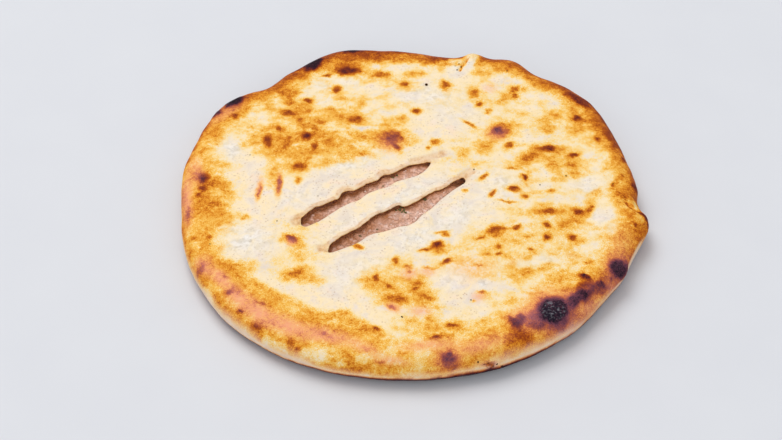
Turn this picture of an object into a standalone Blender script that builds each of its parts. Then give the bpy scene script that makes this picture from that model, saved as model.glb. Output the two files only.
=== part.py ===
"""Kubdari: a round flat bread closed round a disc of minced meat, with two slits cut in its top.

Units are metres and +Z is up. The bread lies on its flat underside at z = 0, with the origin in the
middle of its outline. Angles are in degrees, counted from +X towards +Y.

Two solids make it: bread_dough, one piece of dough that wraps the filling all round, and
meat_filling, the disc of meat inside, which shows through the slits. A thin gap parts them.
"""

from math import atan2, cos, degrees, exp, hypot, pi, sin

import bmesh
import bpy

MM = 0.001

# The outline, seen from above: a circle with the swells (+) and dents (-) of hand-shaped dough,
# each one (middle in degrees, half-width in degrees, how far the rim moves). The rim is torn at
# 71 degrees and folded over itself at 351.
BASE_RADIUS = 122.0 * MM
RIM_SWELLS = (
    (39, 13, 6.0 * MM),
    (62, 6, 6.0 * MM),
    (71, 3, 2.5 * MM),
    (81, 8, -3.0 * MM),
    (111, 11, 7.0 * MM),
    (134, 5, -4.0 * MM),
    (148, 15, 8.5 * MM),
    (170, 9, 3.5 * MM),
    (226, 41, 5.0 * MM),
    (264, 23, -1.5 * MM),
    (324, 9, -1.5 * MM),
    (332, 5, 1.0 * MM),
    (351, 7, 4.5 * MM),
    (358, 3, -2.5 * MM),
)

# The cross-section of the rim: an under-curve, then a fuller curve up to the shoulder.
BELLY_HEIGHT = 8.5 * MM
UNDER_CURVE_INSET = 8.0 * MM
SHOULDER_INSET = 12.0 * MM
SHOULDER_HEIGHT = 18.5 * MM

# The top inside the shoulder: a shallow furrow behind the rim, a low dome and a few soft lumps,
# each one (x, y, half-width, height). The lumps fade out at the shoulder, later for a higher power.
DOME_RISE = 1.6 * MM
FURROW_DEPTH = 0.7 * MM
FURROW_PLACE = 0.84
FURROW_WIDTH = 0.10
TOP_LUMPS = (
    (-70 * MM, -36 * MM, 16 * MM, 0.9 * MM),
    (-52 * MM, 30 * MM, 22 * MM, 0.8 * MM),
    (12 * MM, 62 * MM, 24 * MM, 0.7 * MM),
    (72 * MM, 30 * MM, 22 * MM, 0.8 * MM),
    (52 * MM, -34 * MM, 24 * MM, 0.7 * MM),
    (-14 * MM, -76 * MM, 20 * MM, 0.6 * MM),
    (86 * MM, -22 * MM, 14 * MM, -0.7 * MM),
    (-20 * MM, 72 * MM, 13 * MM, -0.6 * MM),
)
LUMP_FADE_POWER = 4

# The dough round the filling.
TOP_SKIN = 2.6 * MM
FLOOR_SKIN = 3.0 * MM
RIM_WALL = 15.0 * MM
FILLING_EDGE_INSET = 6.0 * MM
FILLING_GAP = 0.3 * MM

# The slits, seen from above: where each starts and ends, and how far its two lips stand off the
# straight line between them, on the +Y side and on the -Y side. A lip is half a sine wave to the
# power LIP_POWER, so below 1 the slit opens sooner from its ends.
SLITS = {
    "upper_slit": {
        "start": (-58.2 * MM, -28.4 * MM),
        "end": (10.8 * MM, 18.6 * MM),
        "far_lip": 4.8 * MM,
        "near_lip": 2.6 * MM,
    },
    "lower_slit": {
        "start": (-44.2 * MM, -46.9 * MM),
        "end": (28.3 * MM, 4.6 * MM),
        "far_lip": 4.0 * MM,
        "near_lip": 7.5 * MM,
    },
}
LIP_POWER = 0.75
SLIT_FLOOR = 10.0 * MM
SLIT_CEILING = 30.0 * MM
SLIT_STEPS = 14

# How finely the curves are faceted.
RIM_STEPS = 108
FILLING_STEPS = 54
ARC_STEPS = 4
TOP_RINGS = 10

# Principled BSDF values: colour, roughness.
CRUST_FINISH = ((0.86, 0.62, 0.33, 1.0), 0.62)
MEAT_FINISH = ((0.42, 0.21, 0.15, 1.0), 0.45)


def clear_scene():
    for obj in list(bpy.data.objects):
        bpy.data.objects.remove(obj, do_unlink=True)


def make_material(name, colour, roughness):
    material = bpy.data.materials.new(name)
    material.use_nodes = True
    shader = material.node_tree.nodes["Principled BSDF"]
    shader.inputs["Base Color"].default_value = colour
    shader.inputs["Roughness"].default_value = roughness
    shader.inputs["Metallic"].default_value = 0.0
    material.diffuse_color = colour
    return material


def swell(offset, width):
    """A soft bump that is 1 at its middle and fades out past its half-width."""
    return exp(-((offset / width) ** 2))


def rim_radius(angle):
    """How far the belly of the rim stands from the middle of the circle, at an angle in radians."""
    turn = degrees(angle)
    radius = BASE_RADIUS
    for middle, width, height in RIM_SWELLS:
        radius += height * swell((turn - middle + 180) % 360 - 180, width)
    return radius


def outline_middle():
    """The middle of the outline's bounding box, which the origin is moved to."""
    angles = [2 * pi * i / RIM_STEPS for i in range(RIM_STEPS)]
    xs = [rim_radius(a) * cos(a) for a in angles]
    ys = [rim_radius(a) * sin(a) for a in angles]
    return (min(xs) + max(xs)) / 2, (min(ys) + max(ys)) / 2


MIDDLE_X, MIDDLE_Y = outline_middle()


def top_height(x, y):
    """The height of the bread's top above the point x, y, inside the shoulder."""
    across, along = x + MIDDLE_X, y + MIDDLE_Y
    shoulder = rim_radius(atan2(along, across)) - SHOULDER_INSET
    share = min(hypot(across, along) / shoulder, 1.0)
    height = SHOULDER_HEIGHT + DOME_RISE * (1 - share**2)
    height -= FURROW_DEPTH * swell(share - FURROW_PLACE, FURROW_WIDTH)
    fade = 1 - share**LUMP_FADE_POWER
    for lump_x, lump_y, width, rise in TOP_LUMPS:
        height += fade * rise * swell(hypot(x - lump_x, y - lump_y), width)
    return height


def bread_section(angle):
    """The bread's outer face as (radius, height) steps at one angle, from underside to shoulder."""
    belly = rim_radius(angle)
    under = belly - UNDER_CURVE_INSET
    shoulder = belly - SHOULDER_INSET
    section = []
    for i in range(ARC_STEPS + 1):
        bend = pi / 2 * i / ARC_STEPS
        section.append((under + UNDER_CURVE_INSET * sin(bend), BELLY_HEIGHT * (1 - cos(bend))))
    edge_height = SHOULDER_HEIGHT - FURROW_DEPTH * swell(1 - FURROW_PLACE, FURROW_WIDTH)
    rise = edge_height - BELLY_HEIGHT
    for i in range(1, ARC_STEPS + 1):
        bend = pi / 2 * i / ARC_STEPS
        section.append((shoulder + SHOULDER_INSET * cos(bend), BELLY_HEIGHT + rise * sin(bend)))
    return section


def ring_point(radius, angle, height):
    return (radius * cos(angle) - MIDDLE_X, radius * sin(angle) - MIDDLE_Y, height)


def closed_mesh(name, rings, top_point):
    """One closed body: a flat face under the first ring, bands between rings, a fan to the top."""
    bm = bmesh.new()
    rows = [[bm.verts.new(point) for point in ring] for ring in rings]
    count = len(rows[0])
    bm.faces.new(reversed(rows[0]))
    for low, high in zip(rows, rows[1:]):
        for i in range(count):
            j = (i + 1) % count
            bm.faces.new((low[i], low[j], high[j], high[i]))
    top = bm.verts.new(top_point)
    for i in range(count):
        bm.faces.new((rows[-1][i], rows[-1][(i + 1) % count], top))
    bmesh.ops.recalc_face_normals(bm, faces=bm.faces)
    mesh = bpy.data.meshes.new(name)
    bm.to_mesh(mesh)
    bm.free()
    mesh.shade_smooth()
    obj = bpy.data.objects.new(name, mesh)
    bpy.context.scene.collection.objects.link(obj)
    return obj


def top_rings(edge_radius, angles, lift):
    """Rings over the top from the edge inwards, each point at the top's height plus lift."""
    rings = []
    for k in range(1, TOP_RINGS):
        share = 1 - k / TOP_RINGS
        ring = []
        for angle in angles:
            x, y, _ = ring_point(edge_radius(angle) * share, angle, 0)
            ring.append((x, y, top_height(x, y) + lift))
        rings.append(ring)
    return rings


def make_bread():
    angles = [2 * pi * i / RIM_STEPS for i in range(RIM_STEPS)]
    outer_face = [bread_section(angle) for angle in angles]
    rings = []
    for steps in zip(*outer_face):
        rings.append([ring_point(radius, angle, height) for (radius, height), angle in zip(steps, angles)])
    rings += top_rings(lambda angle: rim_radius(angle) - SHOULDER_INSET, angles, 0.0)
    x, y, _ = ring_point(0, 0, 0)
    return closed_mesh("bread_dough", rings, (x, y, top_height(x, y)))


def make_filling(name, growth):
    """The disc of meat, or with growth the hollow that holds it, larger by that much all round."""
    angles = [2 * pi * i / FILLING_STEPS for i in range(FILLING_STEPS)]
    lift = growth - TOP_SKIN - FILLING_GAP
    bottom = FLOOR_SKIN + FILLING_GAP - growth

    def edge(angle):
        return rim_radius(angle) - RIM_WALL - FILLING_GAP + growth

    def flat(angle):
        return edge(angle) - FILLING_EDGE_INSET

    rings = []
    for k in range(2 * ARC_STEPS + 1):
        bend = pi / 2 * (k / ARC_STEPS - 1)
        ring = []
        for angle in angles:
            x, y, _ = ring_point(flat(angle), angle, 0)
            top = top_height(x, y) + lift
            middle, half = (top + bottom) / 2, (top - bottom) / 2
            radius = flat(angle) + FILLING_EDGE_INSET * cos(bend)
            ring.append(ring_point(radius, angle, middle + half * sin(bend)))
        rings.append(ring)
    rings += top_rings(flat, angles, lift)
    x, y, _ = ring_point(0, 0, 0)
    return closed_mesh(name, rings, (x, y, top_height(x, y) + lift))


def slit_outline(start, end, far_lip, near_lip):
    """The outline of one slit from above: out along its near lip and back along its far lip."""
    length = hypot(end[0] - start[0], end[1] - start[1])
    along = ((end[0] - start[0]) / length, (end[1] - start[1]) / length)
    outline = []
    for side, depth in ((-1, near_lip), (1, far_lip)):
        for i in range(SLIT_STEPS):
            share = i / SLIT_STEPS
            run = length * (share if side < 0 else 1 - share)
            off = side * depth * sin(pi * share) ** LIP_POWER
            x = start[0] + along[0] * run - along[1] * off
            y = start[1] + along[1] * run + along[0] * off
            outline.append((x, y))
    return outline


def make_slit_cutter(name, start, end, far_lip, near_lip):
    """An upright prism with the slit's outline, from inside the hollow to above the bread."""
    bm = bmesh.new()
    outline = slit_outline(start, end, far_lip, near_lip)
    base = bm.faces.new([bm.verts.new((x, y, SLIT_FLOOR)) for x, y in outline])
    grown = bmesh.ops.extrude_face_region(bm, geom=[base])
    raised = [item for item in grown["geom"] if isinstance(item, bmesh.types.BMVert)]
    bmesh.ops.translate(bm, verts=raised, vec=(0, 0, SLIT_CEILING - SLIT_FLOOR))
    bmesh.ops.recalc_face_normals(bm, faces=bm.faces)
    mesh = bpy.data.meshes.new(name)
    bm.to_mesh(mesh)
    bm.free()
    obj = bpy.data.objects.new(name, mesh)
    bpy.context.scene.collection.objects.link(obj)
    return obj


def cut(obj, cutter):
    """Cuts cutter's shape out of obj, and keeps cutter as a hidden helper."""
    modifier = obj.modifiers.new(f"cut_{cutter.name}", "BOOLEAN")
    modifier.operation = "DIFFERENCE"
    modifier.object = cutter
    cutter.hide_render = True
    cutter.display_type = "WIRE"


def main():
    clear_scene()
    bread = make_bread()
    filling = make_filling("meat_filling", 0.0)
    cut(bread, make_filling("filling_hollow", FILLING_GAP))
    for name, slit in SLITS.items():
        cut(bread, make_slit_cutter(name, **slit))
    bread.data.materials.append(make_material("crust", *CRUST_FINISH))
    filling.data.materials.append(make_material("minced_meat", *MEAT_FINISH))


main()
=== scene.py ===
"""The looks of the kubdari: its dough, the meat in its slits, the floor, the light and the camera.

Units are metres and +Z is up. The bread's origin is the middle of its outline, on the floor. The
top of the photograph is +Y and its right is +X. Turns are in degrees from +X towards +Y. Places
read from the photograph are pixels of its 782 x 440 frame, x to the right and y down.
"""

from math import cos, pi, radians, sin, sqrt

import bmesh
import bpy
import numpy as np
from mathutils import Matrix, Vector, noise
from mathutils.geometry import delaunay_2d_cdt


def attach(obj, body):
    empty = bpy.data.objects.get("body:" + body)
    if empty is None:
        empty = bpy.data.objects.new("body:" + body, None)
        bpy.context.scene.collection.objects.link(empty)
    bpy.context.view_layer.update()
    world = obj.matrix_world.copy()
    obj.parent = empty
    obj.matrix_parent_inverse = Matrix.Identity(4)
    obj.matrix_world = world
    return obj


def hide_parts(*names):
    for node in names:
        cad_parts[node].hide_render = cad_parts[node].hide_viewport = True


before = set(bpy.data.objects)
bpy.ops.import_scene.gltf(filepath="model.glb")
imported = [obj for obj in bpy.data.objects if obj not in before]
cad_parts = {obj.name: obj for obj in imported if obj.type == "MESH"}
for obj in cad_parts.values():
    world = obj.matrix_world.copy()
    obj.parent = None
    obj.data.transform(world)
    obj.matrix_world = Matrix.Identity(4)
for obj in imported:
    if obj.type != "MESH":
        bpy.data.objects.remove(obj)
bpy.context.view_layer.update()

MM = 0.001
SEED = 7

# The photograph's frame and the camera that took it.
PHOTO_WIDTH = 782
PHOTO_HEIGHT = 440
SENSOR_WIDTH = 36.0
CAMERA_LENS = 76.6
CAMERA_DISTANCE = 0.9
CAMERA_ELEVATION = radians(44.7)
CAMERA_TARGET = np.array((-11.17 * MM, -6.03 * MM, 0.0))
TOWARDS_CAMERA = np.array((0.0, -cos(CAMERA_ELEVATION), sin(CAMERA_ELEVATION)))
CAMERA_UP = np.array((0.0, sin(CAMERA_ELEVATION), cos(CAMERA_ELEVATION)))
CAMERA_PLACE = CAMERA_TARGET + CAMERA_DISTANCE * TOWARDS_CAMERA
PIXELS_PER_SLOPE = PHOTO_WIDTH * CAMERA_LENS / SENSOR_WIDTH

# The outline and the cross-section, as the CAD part has them.
BASE_RADIUS = 122.0 * MM
RIM_SWELLS = (
    (39, 13, 6.0 * MM),
    (62, 6, 6.0 * MM),
    (71, 3, 2.5 * MM),
    (81, 8, -3.0 * MM),
    (111, 11, 7.0 * MM),
    (134, 5, -4.0 * MM),
    (148, 15, 8.5 * MM),
    (170, 9, 3.5 * MM),
    (226, 41, 5.0 * MM),
    (264, 23, -1.5 * MM),
    (324, 9, -1.5 * MM),
    (332, 5, 1.0 * MM),
    (351, 7, 4.5 * MM),
    (358, 3, -2.5 * MM),
)
BELLY_HEIGHT = 8.5 * MM
UNDER_CURVE_INSET = 8.0 * MM
SHOULDER_INSET = 12.0 * MM
SHOULDER_HEIGHT = 18.5 * MM
DOME_RISE = 1.6 * MM
FURROW_DEPTH = 0.7 * MM
FURROW_PLACE = 0.84
FURROW_WIDTH = 0.10
TOP_LUMPS = (
    (-70 * MM, -36 * MM, 16 * MM, 0.9 * MM),
    (-52 * MM, 30 * MM, 22 * MM, 0.8 * MM),
    (12 * MM, 62 * MM, 24 * MM, 0.7 * MM),
    (72 * MM, 30 * MM, 22 * MM, 0.8 * MM),
    (52 * MM, -34 * MM, 24 * MM, 0.7 * MM),
    (-14 * MM, -76 * MM, 20 * MM, 0.6 * MM),
    (86 * MM, -22 * MM, 14 * MM, -0.7 * MM),
    (-20 * MM, 72 * MM, 13 * MM, -0.6 * MM),
)
LUMP_FADE_POWER = 4
TOP_SKIN = 2.6 * MM
FLOOR_SKIN = 3.0 * MM
RIM_WALL = 15.0 * MM
FILLING_EDGE_INSET = 6.0 * MM
FILLING_GAP = 0.3 * MM

# How fine the dough's mesh is.
RIM_POINTS = 640
UPPER_RIM_ROWS = 14
LOWER_RIM_ROWS = 7
TOP_SPACING = 1.08 * MM
UNDERSIDE_SPACING = 3.0 * MM
HOLLOW_SPACING = 5.0 * MM
HOLLOW_ROWS = 8
# The hollow has a point for one in this many points of the rim.
HOLLOW_THINNING = 4
# Its ceiling has a row of points this far from each slit, with one for this many of the slit's
# points, and its lattice starts that far from the slits.
CEILING_ROW = 2 * MM
CEILING_ROW_THINNING = 3
CEILING_LATTICE = 4 * MM
# A lattice keeps this much of its spacing away from the loop round it.
CLEAR_OF_EDGE = 0.6

# The slits' lips in the photograph, each from its left end to its right end. The far lips are torn
# and overhang the meat, and the near lips slope down to it.
UPPER_SLIT_FAR = (
    (300.5, 221.5), (301, 218), (306, 213.8), (315, 207.5), (320.6, 206.3), (327.5, 203), (335, 200),
    (338, 198.8), (342.5, 193), (347.5, 191), (355, 190.6), (365, 185), (376, 181), (382.5, 176),
    (390, 175), (398.8, 170.6), (410, 165.6), (422.5, 163.8), (431, 162),
)
UPPER_SLIT_NEAR = (
    (300.5, 221.5), (302, 224), (306, 225), (315, 221), (321, 218), (333.8, 210), (340, 206),
    (350, 201), (357.5, 198.8), (367.5, 192.5), (377.5, 188.8), (387.5, 186), (396, 181),
    (407.5, 177.5), (417.5, 173.8), (425, 168.8), (431, 162),
)
LOWER_SLIT_FAR = (
    (327.5, 249.5), (329, 246.5), (334, 241.5), (343.8, 235), (360, 226.9), (370, 218.8), (376, 215),
    (387.5, 211), (395, 206.9), (398.5, 205.4), (403, 206.9), (408, 206), (415, 202.5), (422.5, 198),
    (432.5, 192.5), (445, 188), (452, 183), (459, 179.3), (463.5, 178.2), (466, 179.6),
)
LOWER_SLIT_NEAR = (
    (327.5, 249.5), (330, 251), (340, 248), (357.5, 241), (370, 233), (385, 229.4), (400, 225),
    (407.5, 223.8), (415, 220), (421, 214.4), (431, 207.5), (440, 198.8), (446, 193.8),
    (453, 188.5), (461, 184), (465, 181.5), (466, 179.6),
)
LIP_HEIGHT = 19.5 * MM
LIP_SPACING = 0.5 * MM
# How far the far lips wobble, and what share of that the near lips do.
LIP_WOBBLE = 0.35 * MM
NEAR_LIP_WOBBLE = 0.25
# Near and far lips blend into each other at the slits' ends, over more points the more steps.
LIP_BLEND_STEPS = 10
# Rows of points round the slits, at these distances from the lips.
LIP_ROWS = (0.4 * MM, 0.9 * MM, 1.4 * MM, 1.9 * MM, 2.4 * MM, 2.9 * MM, 3.5 * MM)
# How far a lip's rounding reaches over the top, how deep it goes, and how thick the skin is there.
FAR_LIP = (0.9 * MM, 0.3 * MM, 1.1 * MM)
NEAR_LIP = (3.6 * MM, 2.1 * MM, 3.0 * MM)
# How wide the strip of torn dough along each slit's far lip is, and by what share that varies.
UPPER_STRIP = 2.5 * MM
LOWER_STRIP = 1.7 * MM
STRIP_UNEVENNESS = 0.7
# How torn the strip looks, over which distances past its edge that fades out, and how much more
# torn the line along that edge looks, and how wide that line is.
STRIP_STRENGTH = 0.66
STRIP_FADE = (0.7 * MM, -0.7 * MM)
STRIP_LINE_STRENGTH = 0.25
STRIP_LINE_WIDTH = 0.5 * MM
# The slits' walls bulge inwards halfway down and end this far outside the lips.
WALL_BULGE = 0.15 * MM
WALL_SLANT = 0.25 * MM
# The far lips are lifted a little, up to this far from them.
LIP_LIFT = 0.4 * MM
LIP_LIFT_REACH = 4.0 * MM
# Farther from a lip than this, a point counts as being this far from it.
SLIT_ZONE = 14 * MM


def smoothstep(low, high, value):
    share = np.clip((value - low) / (high - low), 0.0, 1.0)
    return share * share * (3 - 2 * share)


def swell(offset, width):
    """A soft bump that is 1 at its middle and fades out past its half-width."""
    return np.exp(-((offset / width) ** 2))


def ripple(points, size, seed):
    """Smooth random values, about -1 to 1, that change over lengths of about size."""
    shift = Vector((seed * 7.31, seed * 3.17, seed * 5.93))
    return np.array([noise.noise(Vector(point) + shift) for point in points / size])


def waves(points, layers):
    """The sum of ripples, each given by its length, its height and its seed."""
    return sum(height * ripple(points, length, seed) for length, height, seed in layers)


def in_photo(points):
    """Where points fall in the photograph's frame, as pixel x, pixel y, and how far off they are."""
    offset = points - CAMERA_PLACE
    away = -offset @ TOWARDS_CAMERA
    across = PHOTO_WIDTH / 2 + PIXELS_PER_SLOPE * offset[:, 0] / away
    down = PHOTO_HEIGHT / 2 - PIXELS_PER_SLOPE * (offset @ CAMERA_UP) / away
    return across, down, away


def photo_rays(pixels):
    """The directions in which the camera sees pixels of the photograph."""
    pixels = np.array(pixels, float)
    up = (PHOTO_HEIGHT / 2 - pixels[:, 1]) / PIXELS_PER_SLOPE
    rays = up[:, None] * CAMERA_UP - TOWARDS_CAMERA
    rays[:, 0] = (pixels[:, 0] - PHOTO_WIDTH / 2) / PIXELS_PER_SLOPE
    return rays


def at_height(pixels, height):
    """The points x, y at a height that fall on pixels of the photograph."""
    rays = photo_rays(pixels)
    run = (height - CAMERA_PLACE[2]) / rays[:, 2]
    return (CAMERA_PLACE + run[:, None] * rays)[:, :2]


# The shape that the CAD part has.


def rim_radius(turn):
    """How far the belly of the rim stands from the middle of the circle, at turns in degrees."""
    radius = np.full(np.shape(turn), BASE_RADIUS)
    for middle, width, height in RIM_SWELLS:
        radius = radius + height * swell((turn - middle + 180) % 360 - 180, width)
    return radius


def outline_middle():
    turns = np.linspace(0, 360, 720, endpoint=False)
    xs = rim_radius(turns) * np.cos(np.radians(turns))
    ys = rim_radius(turns) * np.sin(np.radians(turns))
    return np.array(((xs.min() + xs.max()) / 2, (ys.min() + ys.max()) / 2))


MIDDLE = outline_middle()


def polar(points):
    """The turn in degrees and the distance from the middle of the circle of points x, y."""
    across, along = points[:, 0] + MIDDLE[0], points[:, 1] + MIDDLE[1]
    return np.degrees(np.arctan2(along, across)) % 360, np.hypot(across, along)


def raised(flat, height=0.0):
    """Points x, y with a height each, or with one height for all."""
    return np.column_stack((flat, np.broadcast_to(height, len(flat))))


def ring(radius, turns, height):
    """Points at a distance from the middle of the circle, one for each turn."""
    xs = radius * np.cos(np.radians(turns)) - MIDDLE[0]
    ys = radius * np.sin(np.radians(turns)) - MIDDLE[1]
    return raised(np.stack((xs, ys), 1), height)


def top_height(points):
    """The height of the bread's top above points x, y inside the shoulder."""
    turns, reach = polar(points)
    share = np.minimum(reach / (rim_radius(turns) - SHOULDER_INSET), 1.0)
    height = SHOULDER_HEIGHT + DOME_RISE * (1 - share**2)
    height = height - FURROW_DEPTH * swell(share - FURROW_PLACE, FURROW_WIDTH)
    for x, y, width, rise in TOP_LUMPS:
        lump = swell(np.hypot(points[:, 0] - x, points[:, 1] - y), width)
        height += (1 - share**LUMP_FADE_POWER) * rise * lump
    return height


# Meshes made of closed loops, bands between loops and sheets inside them.


def new_object(name, data):
    obj = bpy.data.objects.new(name, data)
    bpy.context.scene.collection.objects.link(obj)
    return obj


def store_values(mesh, name, values):
    """Gives each point of a mesh a value that its material can read."""
    mesh.attributes.new(name, "FLOAT", "POINT").data.foreach_set("value", values)


class Skin:
    """Points and triangles that are gathered into one mesh."""

    def __init__(self):
        self.points = np.zeros((0, 3))
        self.triangles = []

    def add(self, points):
        """Adds points and returns their indices."""
        first = len(self.points)
        self.points = np.vstack((self.points, points))
        return np.arange(first, first + len(points))

    def band(self, low, high):
        """Joins two closed loops that run anticlockwise, seen with high above low, facing outwards."""
        low_next, high_next = np.roll(low, -1), np.roll(high, -1)
        self.triangles.append(np.stack((low, low_next, high_next), 1))
        self.triangles.append(np.stack((low, high_next, high), 1))

    def rows_below(self, above, turns, rows, shape, inwards=False):
        """Adds rows of points on down from the loop above, and returns the last one.

        The function shape gives a row's radius and height from its share of the way down.
        """
        for row in range(1, rows + 1):
            radius, height = shape(row / rows)
            below = self.add(ring(radius, turns, height))
            self.band(*((above, below) if inwards else (below, above)))
            above = below
        return above

    def sheet(self, outer, holes, inner, faces_up):
        """Fills the loop outer, but not the loops in holes, with triangles through the points inner."""
        loops = [outer] + holes
        used = np.concatenate(loops + [inner])
        flat = self.points[used][:, :2]
        edges = []
        owner = np.full(len(used), -1)
        first = 0
        for number, loop in enumerate(loops):
            count = len(loop)
            edges += [(first + i, first + (i + 1) % count) for i in range(count)]
            owner[first:first + count] = number
            first += count
        found = delaunay_2d_cdt([Vector(point) for point in flat], edges, [], 0, 1e-7, False)
        triangles = np.array(found[2])
        owners = owner[triangles]
        same = (owners[:, 0] == owners[:, 1]) & (owners[:, 1] == owners[:, 2]) & (owners[:, 0] >= 0)
        keep = np.ones(len(triangles), bool)
        for number, loop in enumerate(loops):
            some = np.nonzero(same & (owners[:, 0] == number))[0]
            inside = in_loop(flat[triangles[some]].mean(1), self.points[loop][:, :2])
            keep[some] = inside if number == 0 else ~inside
        triangles = used[triangles[keep]]
        self.triangles.append(triangles if faces_up else triangles[:, ::-1])

    def build(self, name):
        mesh = bpy.data.meshes.new(name)
        triangles = np.concatenate(self.triangles)
        mesh.vertices.add(len(self.points))
        mesh.vertices.foreach_set("co", self.points.ravel())
        mesh.loops.add(triangles.size)
        mesh.loops.foreach_set("vertex_index", triangles.ravel())
        mesh.polygons.add(len(triangles))
        mesh.polygons.foreach_set("loop_start", np.arange(0, triangles.size, 3))
        mesh.update(calc_edges=True)
        mesh.validate()
        mesh.shade_smooth()
        return new_object(name, mesh)


def in_loop(points, loop):
    """Which points x, y lie inside a closed loop."""
    starts, ends = loop, np.roll(loop, -1, 0)
    inside = np.zeros(len(points), bool)
    for (x0, y0), (x1, y1) in zip(starts, ends):
        if y0 == y1:
            continue
        crosses = (points[:, 1] > y0) != (points[:, 1] > y1)
        inside ^= crosses & (points[:, 0] < x0 + (points[:, 1] - y0) * (x1 - x0) / (y1 - y0))
    return inside


def lattice(spacing, extent):
    """Points x, y of a triangular lattice over a square that reaches to extent each way."""
    points = []
    for row, y in enumerate(np.arange(-extent, extent, spacing * sqrt(3) / 2)):
        xs = np.arange(-extent, extent, spacing) + spacing / 2 * (row % 2)
        points.append(np.stack((xs, np.full_like(xs, y)), 1))
    return np.concatenate(points)


def lattice_inside(spacing, extent, inset):
    """The points of a lattice that lie well inside a loop that far in from the belly of the rim."""
    points = lattice(spacing, extent)
    turns, reach = polar(points)
    return points[reach < rim_radius(turns) - inset - CLEAR_OF_EDGE * spacing]


# The slits.


def smooth_line(points, spacing):
    """Points at even spacing along a smooth curve through the given points."""
    points = np.array(points, float)
    padded = np.vstack((2 * points[0] - points[1], points, 2 * points[-1] - points[-2]))
    steps = np.linspace(0, 1, 12, endpoint=False)[:, None]
    curve = []
    for a, b, c, d in zip(padded, padded[1:], padded[2:], padded[3:]):
        bend = (2 * a - 5 * b + 4 * c - d) * steps**2 + (3 * b - a - 3 * c + d) * steps**3
        curve.append(b + 0.5 * ((c - a) * steps + bend))
    curve = np.vstack(curve + [points[-1:]])
    run = np.concatenate(([0], np.cumsum(np.hypot(*np.diff(curve, axis=0).T))))
    count = max(int(run[-1] / spacing), 2)
    along = np.linspace(0, run[-1], count + 1)
    return np.stack([np.interp(along, run, curve[:, axis]) for axis in (0, 1)], 1)


class Slit:
    """One slit's outline, anticlockwise: out along its near lip and back along its far lip."""

    def __init__(self, near, far, strip, seed):
        near_line = smooth_line(at_height(near, LIP_HEIGHT), LIP_SPACING)
        far_line = smooth_line(at_height(far, LIP_HEIGHT), LIP_SPACING)[::-1]
        outline = np.vstack((near_line[:-1], far_line[:-1]))
        farness = np.concatenate((np.zeros(len(near_line) - 1), np.ones(len(far_line) - 1)))
        for _ in range(LIP_BLEND_STEPS):
            farness = (np.roll(farness, 1) + 2 * farness + np.roll(farness, -1)) / 4
        tangent = np.roll(outline, -1, 0) - np.roll(outline, 1, 0)
        tangent /= np.hypot(*tangent.T)[:, None]
        self.outward = np.stack((tangent[:, 1], -tangent[:, 0]), 1)
        places = raised(outline)
        wobble = waves(places, ((3.2 * MM, LIP_WOBBLE, seed), (1.6 * MM, 0.7 * LIP_WOBBLE, seed + 20)))
        wobble *= NEAR_LIP_WOBBLE + (1 - NEAR_LIP_WOBBLE) * farness
        self.outline = outline + wobble[:, None] * self.outward
        self.farness = farness
        self.strip = strip * (1 + STRIP_UNEVENNESS * ripple(places, 7 * MM, seed + 40))
        self.reach, self.drop, self.skin = (
            far_lip * farness + near_lip * (1 - farness) for far_lip, near_lip in zip(FAR_LIP, NEAR_LIP)
        )

    def moved(self, distance):
        """The outline's points moved outwards, away from the slit."""
        return self.outline + distance * self.outward


SLITS = (
    Slit(UPPER_SLIT_NEAR, UPPER_SLIT_FAR, UPPER_STRIP, SEED),
    Slit(LOWER_SLIT_NEAR, LOWER_SLIT_FAR, LOWER_STRIP, SEED + 1),
)
LIP_POINTS, LIP_FARNESS, LIP_REACH, LIP_DROP, LIP_SKIN, LIP_STRIP = (
    np.concatenate([getattr(slit, name) for slit in SLITS])
    for name in ("outline", "farness", "reach", "drop", "skin", "strip")
)


def nearest_lip(points):
    """For each point x, y: how far the nearest point of a lip is, and which one that is."""
    distance = np.full(len(points), SLIT_ZONE)
    nearest = np.zeros(len(points), int)
    low, high = LIP_POINTS.min(0) - SLIT_ZONE, LIP_POINTS.max(0) + SLIT_ZONE
    close = np.nonzero(((points > low) & (points < high)).all(1))[0]
    for part in np.array_split(close, max(len(close) // 2000, 1)):
        gaps = np.hypot(*(points[part][:, None] - LIP_POINTS).transpose(2, 0, 1))
        nearest[part] = gaps.argmin(1)
        distance[part] = np.minimum(gaps.min(1), SLIT_ZONE)
    return distance, nearest


def in_slits(points):
    return np.any([in_loop(points, slit.outline) for slit in SLITS], axis=0)


def lip_profile(distance, reach, drop):
    """How far the top has dropped at a distance from the slit: a quarter of an ellipse."""
    share = np.clip(distance / reach, 0, 1)
    return drop * (1 - np.sqrt(1 - (1 - share) ** 2))


def lifted_top(points, distance, nearest):
    """The height of the CAD part's top, lifted at the far lips."""
    return top_height(points) + LIP_LIFT * LIP_FARNESS[nearest] * swell(distance, LIP_LIFT_REACH)


def skin_top(points):
    """The height of the finished top before its fine relief, rounded at the lips."""
    distance, nearest = nearest_lip(points)
    profile = lip_profile(distance, LIP_REACH[nearest], LIP_DROP[nearest])
    return lifted_top(points, distance, nearest) - profile


def ceiling_height(points):
    """The height of the hollow's ceiling, under the skin, at points x, y outside the slits."""
    distance, nearest = nearest_lip(points)
    lip_skin = LIP_SKIN[nearest]
    thickness = lip_skin + (TOP_SKIN - lip_skin) * smoothstep(0, SLIT_ZONE / 2, distance)
    return lifted_top(points, distance, nearest) - thickness


def filling_side(edge, top, bottom):
    """The rounded side between a top and a bottom, as a function of the share of the way down."""

    def shape(share):
        bend = pi / 2 * (1 - 2 * share)
        height = (top + bottom) / 2 + (top - bottom) / 2 * sin(bend)
        return edge + FILLING_EDGE_INSET * cos(bend), height

    return shape


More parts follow.
